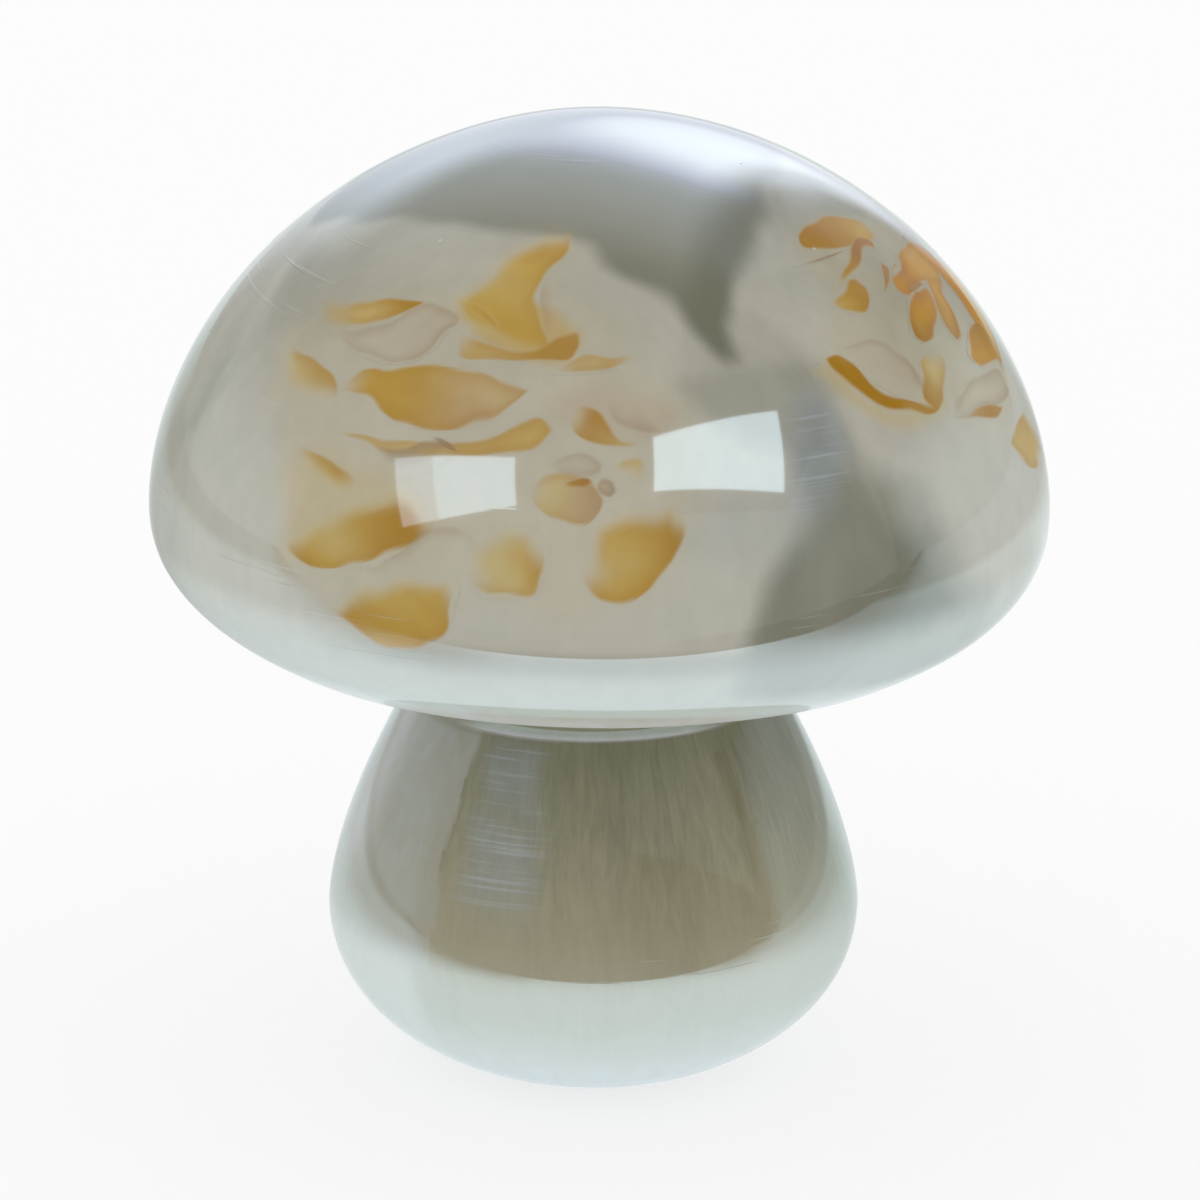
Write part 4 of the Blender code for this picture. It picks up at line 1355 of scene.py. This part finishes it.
class GlassCap(bpy.types.Operator):
    """Blow the cap: a dome over a shallow bowl, hollow, with a mouth below"""

    bl_idname = "mushroom.cap"
    bl_label = "Cap"

    def execute(self, context):
        shape = context.scene.mushroom_cap
        glass = context.scene.mushroom_glass
        profile, outer_rows = cap_profile(shape)
        rings = turned(profile, CAP_COLUMNS)
        rings[:outer_rows] = cap_uneven(shape, rings[:outer_rows])
        top = cap_uneven(shape, np.array([0.0, 0.0, shape.dome_rise]))
        inner_top = np.array([0.0, 0.0, shape.dome_rise - shape.wall])
        piece = ring_mesh("cap", cap_place(shape, rings), cap_place(shape, np.array([top, inner_top])))
        places = cap_unplace(shape, piece_points(piece))
        # Cover with painted light towards the bowl; tint with painted glare and painted table reflection
        paint(piece, "cover", milk_cover(shape, places))
        paint(piece, "tint", coated(cap_coats(shape, glass, places)))
        paint(piece, "worn", CAP_HAIRS * patch_cover(shape, GLINT_WEAR_PATCH, places))
        material = lustre_glass(
            "pearl_glass", glass.cream, glass.smoke, wisps=0.6, polish=0.05, scratches=0.20
        )
        finish_piece(piece, material, "opal_glass", "cap_shell")
        return {"FINISHED"}


class GlassStem(bpy.types.Operator):
    """Blow the stem: a round belly that tapers to a shoulder and a neck"""

    bl_idname = "mushroom.stem"
    bl_label = "Stem"

    def execute(self, context):
        shape = context.scene.mushroom_stem
        glass = context.scene.mushroom_glass
        profile = stem_profile(shape)
        rings = stem_uneven(shape, turned(profile, STEM_COLUMNS))
        rings[..., 0] += shape.axis
        poles = np.array([(shape.axis, 0.0, 0.0), (shape.axis, 0.0, profile[-1, 1])])
        piece = ring_mesh("stem", rings, poles)
        places = piece_points(piece)
        azimuth = np.arctan2(places[:, 0] - shape.axis, -places[:, 1])
        share = places[:, 2] / stem_heights(shape)[2]
        lay = stem_lay(shape, places, azimuth)
        paint(piece, "lay", lay)
        # Cover with painted shade towards the top; tint with painted glare, shade and table reflection
        paint(piece, "cover", stem_cover(lay, share))
        paint(piece, "worn", STEM_HAIRS * stem_glare_wear(places, azimuth, share))
        paint(piece, "tint", coated(stem_coats(glass, places, azimuth, share)))
        material = lustre_glass(
            "smoke_glass", glass.stem_pale, glass.stem, wisps=0.75, polish=0.07, scratches=0.10,
            grain_way=STREAK_WAY, laid=True,
        )
        finish_piece(piece, material, "smoke_glass", "stem_shell")
        return {"FINISHED"}


class GlassBead(bpy.types.Operator):
    """Lay the bead of glass that joins the cap to the stem's shoulder"""

    bl_idname = "mushroom.bead"
    bl_label = "Neck bead"

    def execute(self, context):
        cap = context.scene.mushroom_cap
        stem = context.scene.mushroom_stem
        glass = context.scene.mushroom_glass
        land = stem_heights(stem)[2]
        share = (cap.mouth / cap.radius) ** cap.bowl_power
        drop = tucked(cap, cap.bowl_drop * (1.0 - share) ** (1.0 / cap.bowl_power))
        seat = cap.top - cap.dome_rise - drop
        way = np.linspace(-1.0, 1.0, BEAD_ROWS)
        height = (land + seat) / 2.0 + way * (seat - land + BEAD_OVERLAP) / 2.0
        outer = np.stack([stem.bead + stem.flare * way**4, height], axis=-1)
        back = np.linspace(height[-1], height[0], BEAD_BACK_ROWS)
        inner = np.stack([np.full(BEAD_BACK_ROWS, stem.neck - BEAD_GRIP), back], axis=-1)
        rings = turned(np.concatenate([outer, inner]), STEM_COLUMNS)
        rings[..., 0] += stem.axis
        piece = ring_mesh("neck_bead", rings, joined=True)
        paint(piece, "cover", np.full(len(piece.data.vertices), BEAD_MILK))
        paint(piece, "tint", np.zeros((len(piece.data.vertices), 4)))
        material = lustre_glass(
            "straw_glass", glass.straw, glass.smoke, wisps=0.5, polish=0.08, scratches=0.1
        )
        finish_piece(piece, material, "straw_glass", "neck_bond")
        return {"FINISHED"}


class GlassChips(bpy.types.Operator):
    """Let the amber and rose chips into the cap"""

    bl_idname = "mushroom.chips"
    bl_label = "Chips"

    def execute(self, context):
        shape = context.scene.mushroom_cap
        glass = context.scene.mushroom_glass
        material = lustre_glass(
            "chip_glass", glass.cream, glass.smoke, wisps=0.6, polish=0.05, scratches=0.20
        )
        is_back = np.tile(np.arange(2 * CHIP_COLUMNS - 2) >= CHIP_COLUMNS, CHIP_ROWS)
        for chip, level in zip(CHIPS, chip_levels(shape)):
            rings, tips = chip_solid(shape, chip, level * LAYER_STEP)
            name = chip.name.replace("chip", "glass")
            piece = ring_mesh(name, cap_place(shape, rings), cap_place(shape, tips))
            places = cap_unplace(shape, piece_points(piece))
            chip_coats = [chip_coat(shape, glass, other, places) for other in CHIPS]
            # The chips take the cap's painted glare, table reflection and light towards the bowl
            paint(piece, "tint", coated(cap_coats(shape, glass, places) + chip_coats))
            paint(piece, "cover", milk_cover(shape, places))
            gloss = cap_place(shape, places + cap_gloss(shape, places)) - piece_points(piece)
            gloss[: len(is_back)][is_back] *= -1.0
            piece.data.normals_split_custom_set_from_vertices(gloss)
            nodes = (chip.name,) if chip.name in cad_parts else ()
            finish_piece(piece, material, chip.name.split("_")[0] + "_glass", *nodes)
        return {"FINISHED"}


def light_path_mix(tree, names):
    """Largest of some outputs of the Light Path node."""
    path = tree.nodes.new("ShaderNodeLightPath")
    value = path.outputs[names[0]]
    for name in names[1:]:
        value = math_node(tree, "MAXIMUM", value, path.outputs[name])
    return value


def show_mix(tree, factor, first, second):
    """Show the mix of two shaders on a material's surface."""
    mix = tree.nodes.new("ShaderNodeMixShader")
    for socket, value in zip(mix.inputs, (factor, first, second)):
        tree.links.new(value, socket)
    tree.links.new(mix.outputs[0], tree.nodes["Material Output"].inputs["Surface"])


def table_material():
    """White table with a soft shadow; in gloss it glows white, with painted shade away from the ornament
    and to the front.
    """
    material, tree = new_material("white_table")
    shader = tree.nodes["Principled BSDF"]
    shader.inputs["Base Color"].default_value = TABLE_TONE
    shader.inputs["Roughness"].default_value = 1.0
    shader.inputs["Specular IOR Level"].default_value = 0.0
    place = tree.nodes.new("ShaderNodeTexCoord").outputs["Object"]
    away = vector_node(tree, "LENGTH", place)["Value"]
    across, back, _ = axis_values(tree, place)
    aside = math_node(tree, "DIVIDE", across, away)
    near_left = product(tree, ramp(tree, away, 0.02, 0.24), 0.64)
    far_left = product(tree, ramp(tree, away, 0.40, 0.70), 0.25)
    left = product(tree, ramp(tree, aside, -0.25, -0.62), math_node(tree, "ADD", near_left, far_left))
    near_right = product(tree, ramp(tree, aside, 0.50, 0.85), ramp(tree, away, 0.02, 0.26), 0.72)
    far_right = product(tree, ramp(tree, aside, 0.25, 0.45), ramp(tree, away, 0.20, 0.42))
    right = product(tree, math_node(tree, "MAXIMUM", near_right, far_right), 0.70)
    front = product(tree, ramp(tree, back, -0.03, -0.14), 0.30)
    dim = math_node(tree, "ADD", math_node(tree, "ADD", left, right), front, clamp=True)
    glossy = light_path_mix(tree, GLOSS_RAYS)
    glow = tree.nodes.new("ShaderNodeEmission")
    tree.links.new(mix_colour(tree, product(tree, dim, glossy), WHITE, BLACK), glow.inputs["Color"])
    seen = product(tree, light_path_mix(tree, CAMERA_RAYS), TABLE_SEEN)
    show_mix(tree, math_node(tree, "MAXIMUM", seen, glossy), shader.outputs[0], glow.outputs[0])
    return material


def card_material(name, tone, strength=1.0):
    """Plain glowing card."""
    material, tree = new_material(name)
    glow = tree.nodes.new("ShaderNodeEmission")
    glow.inputs["Color"].default_value = (*tone, 1.0)
    glow.inputs["Strength"].default_value = strength
    tree.links.new(glow.outputs[0], tree.nodes["Material Output"].inputs["Surface"])
    return material


def flat_card(name, corners, material):
    """Flat card of the stage."""
    card = link_mesh(name, corners, [tuple(range(len(corners)))])
    card.data.materials.append(material)
    return card


def gloss_only(card):
    """Show a card in reflections alone."""
    card.visible_camera = False
    card.visible_diffuse = False
    card.visible_shadow = False


def under_flag(cap):
    """Dark flag close under the bowl, seen from below, that keeps the bowl out of the stem's gloss: the
    stem mirrors it as painted shade.
    """
    profile, outer_rows = cap_profile(cap)
    outside = profile[:outer_rows]
    along = np.gradient(outside, axis=0)
    outward = np.stack([-along[:, 1], along[:, 0]], axis=-1)
    outward /= np.linalg.norm(along, axis=1, keepdims=True)
    below = (outside + UNDER_FLAG_GAP * outward)[outside[:, 1] < -UNDER_FLAG_START]
    flag = ring_mesh("flag_under", cap_place(cap, turned(below, CAP_COLUMNS // 3)))
    material = card_material("flag_under", UNDER_FLAG_TONE)
    tree = material.node_tree
    dark = tree.nodes["Material Output"].inputs["Surface"].links[0].from_socket
    clear = tree.nodes.new("ShaderNodeBsdfTransparent").outputs[0]
    show_mix(tree, tree.nodes.new("ShaderNodeNewGeometry").outputs["Backfacing"], clear, dark)
    flag.data.materials.append(material)
    gloss_only(flag)


def studio_world(strength):
    """White to the camera and even soft light.

    In gloss a dim room: a bright wall behind, which pales out with the angle from its middle and
    fades to the right, a bright low band across it, and dimmer walls left and right.
    """
    world = bpy.data.worlds.new("studio")
    world.use_nodes = True
    bpy.context.scene.world = world
    tree = world.node_tree
    way = tree.nodes.new("ShaderNodeTexCoord").outputs["Generated"]
    across, back, up = axis_values(tree, way)
    wall = tree.nodes.new("ShaderNodeValToRGB")
    stops = wall.color_ramp.elements
    stops[0].position, stops[1].position = WALL_STOPS[0][0], WALL_STOPS[-1][0]
    for place, _ in WALL_STOPS[1:-1]:
        stops.new(place)
    levels, tones = zip(*WALL_TONES)
    for stop, (_, tone) in zip(stops, WALL_STOPS):
        stop.color = (*(tone * np.interp(tone, levels, part) for part in zip(*tones)), 1.0)
    tree.links.new(vector_node(tree, "DOT_PRODUCT", way, WALL_MIDDLE)["Value"], wall.inputs["Fac"])
    fade = product(tree, ramp(tree, across, 0.36, 0.22), 1.0 - WALL_RIGHT)
    fade = math_node(tree, "ADD", fade, WALL_RIGHT)
    room = mix_colour(tree, 1.0, wall.outputs["Color"], fade, "MULTIPLY")
    left_end = ramp(tree, math_node(tree, "ADD", across, product(tree, up, 0.5)), -0.42, -0.04)
    right_end = ramp(tree, math_node(tree, "SUBTRACT", across, product(tree, up, 0.35)), 0.28, 0.14)
    behind = ramp(tree, back, -0.12, 0.06)
    band = product(tree, left_end, right_end, behind, ramp(tree, up, 0.60, 0.28))
    room = mix_colour(tree, band, room, BAND_TONE, "LIGHTEN")
    for side, tone in SIDE_WALLS:
        aside = ramp(tree, product(tree, across, side), 0.35, 0.70)
        beside = product(tree, aside, ramp(tree, back, -0.20, 0.02), ramp(tree, up, 0.45, 0.15))
        room = mix_colour(tree, beside, room, (tone, tone, tone, 1.0), "LIGHTEN")
    glossy = light_path_mix(tree, GLOSS_RAYS)
    lit = mix_colour(tree, glossy, (strength, strength, strength, 1.0), room)
    seen = mix_colour(tree, light_path_mix(tree, CAMERA_RAYS), lit, WHITE)
    tree.links.new(seen, tree.nodes["Background"].inputs["Color"])


class StudioStage(bpy.types.Operator):
    """Set the table, the softboxes, the flags, the soft light and the camera"""

    bl_idname = "mushroom.stage"
    bl_label = "Studio"

    def execute(self, context):
        studio = context.scene.mushroom_studio
        scene = context.scene
        scene.view_settings.view_transform = "Standard"
        studio_world(studio.ambient)
        table = table_material()
        reach, edge = studio.reach, studio.table_edge
        top = ((-reach, edge, 0), (reach, edge, 0), (reach, reach, 0), (-reach, reach, 0))
        front = ((-reach, -reach, 0), (reach, -reach, 0), (reach, edge, 0), (-reach, edge, 0))
        flat_card("table", top, table)
        flat_card("table_front", front, table).visible_glossy = False
        for name, strength, tint, corners in SOFTBOXES:
            gloss_only(flat_card(name, corners, card_material(name, tint, strength)))
        for name, outline in FLAGS:
            corners = [(across, FLAG_PLACE, up) for across, up in outline]
            gloss_only(flat_card(name, corners, card_material(name, FLAG_TONE)))
        under_flag(scene.mushroom_cap)
        camera = bpy.data.objects.new("camera", bpy.data.cameras.new("camera"))
        scene.collection.objects.link(camera)
        camera.data.lens = studio.lens
        camera.data.sensor_width = SENSOR_WIDTH
        level = studio.distance * math.cos(studio.elevation)
        rise = studio.distance * math.sin(studio.elevation)
        camera.location = (0.0, -level, studio.aim + rise)
        camera.rotation_euler = (math.pi / 2.0 - studio.elevation, 0.0, 0.0)
        scene.camera = camera
        return {"FINISHED"}


SETTINGS = {
    "mushroom_cap": CapShape,
    "mushroom_stem": StemShape,
    "mushroom_glass": GlassColours,
    "mushroom_studio": StudioSettings,
}
OPERATORS = (GlassCap, GlassStem, GlassBead, GlassChips, StudioStage)


class GlassMushroomPanel(bpy.types.Panel):
    """Sidebar list of the ornament's pieces and their sizes"""

    bl_idname = "VIEW3D_PT_glass_mushroom"
    bl_label = "Glass Mushroom"
    bl_space_type = "VIEW_3D"
    bl_region_type = "UI"
    bl_category = "Glass Mushroom"

    def draw(self, context):
        for operator in OPERATORS:
            self.layout.operator(operator.bl_idname)
        for owner in SETTINGS:
            group = getattr(context.scene, owner)
            box = self.layout.box()
            for label in group.__annotations__:
                box.prop(group, label)


CLASSES = (*SETTINGS.values(), *OPERATORS, GlassMushroomPanel)


def register():
    """Register the classes and hang the settings on the scene."""
    for cls in CLASSES:
        bpy.utils.register_class(cls)
    for owner, group in SETTINGS.items():
        setattr(bpy.types.Scene, owner, bpy.props.PointerProperty(type=group))


def unregister():
    """Take the settings off the scene and unregister the classes."""
    for owner in SETTINGS:
        delattr(bpy.types.Scene, owner)
    for cls in reversed(CLASSES):
        bpy.utils.unregister_class(cls)


def main():
    """Build the ornament and its studio."""
    register()
    cloudy_glass_group()
    glass_skin_group()
    bpy.ops.mushroom.cap()
    bpy.ops.mushroom.stem()
    bpy.ops.mushroom.bead()
    bpy.ops.mushroom.chips()
    bpy.ops.mushroom.stage()


if __name__ == "__main__":
    main()
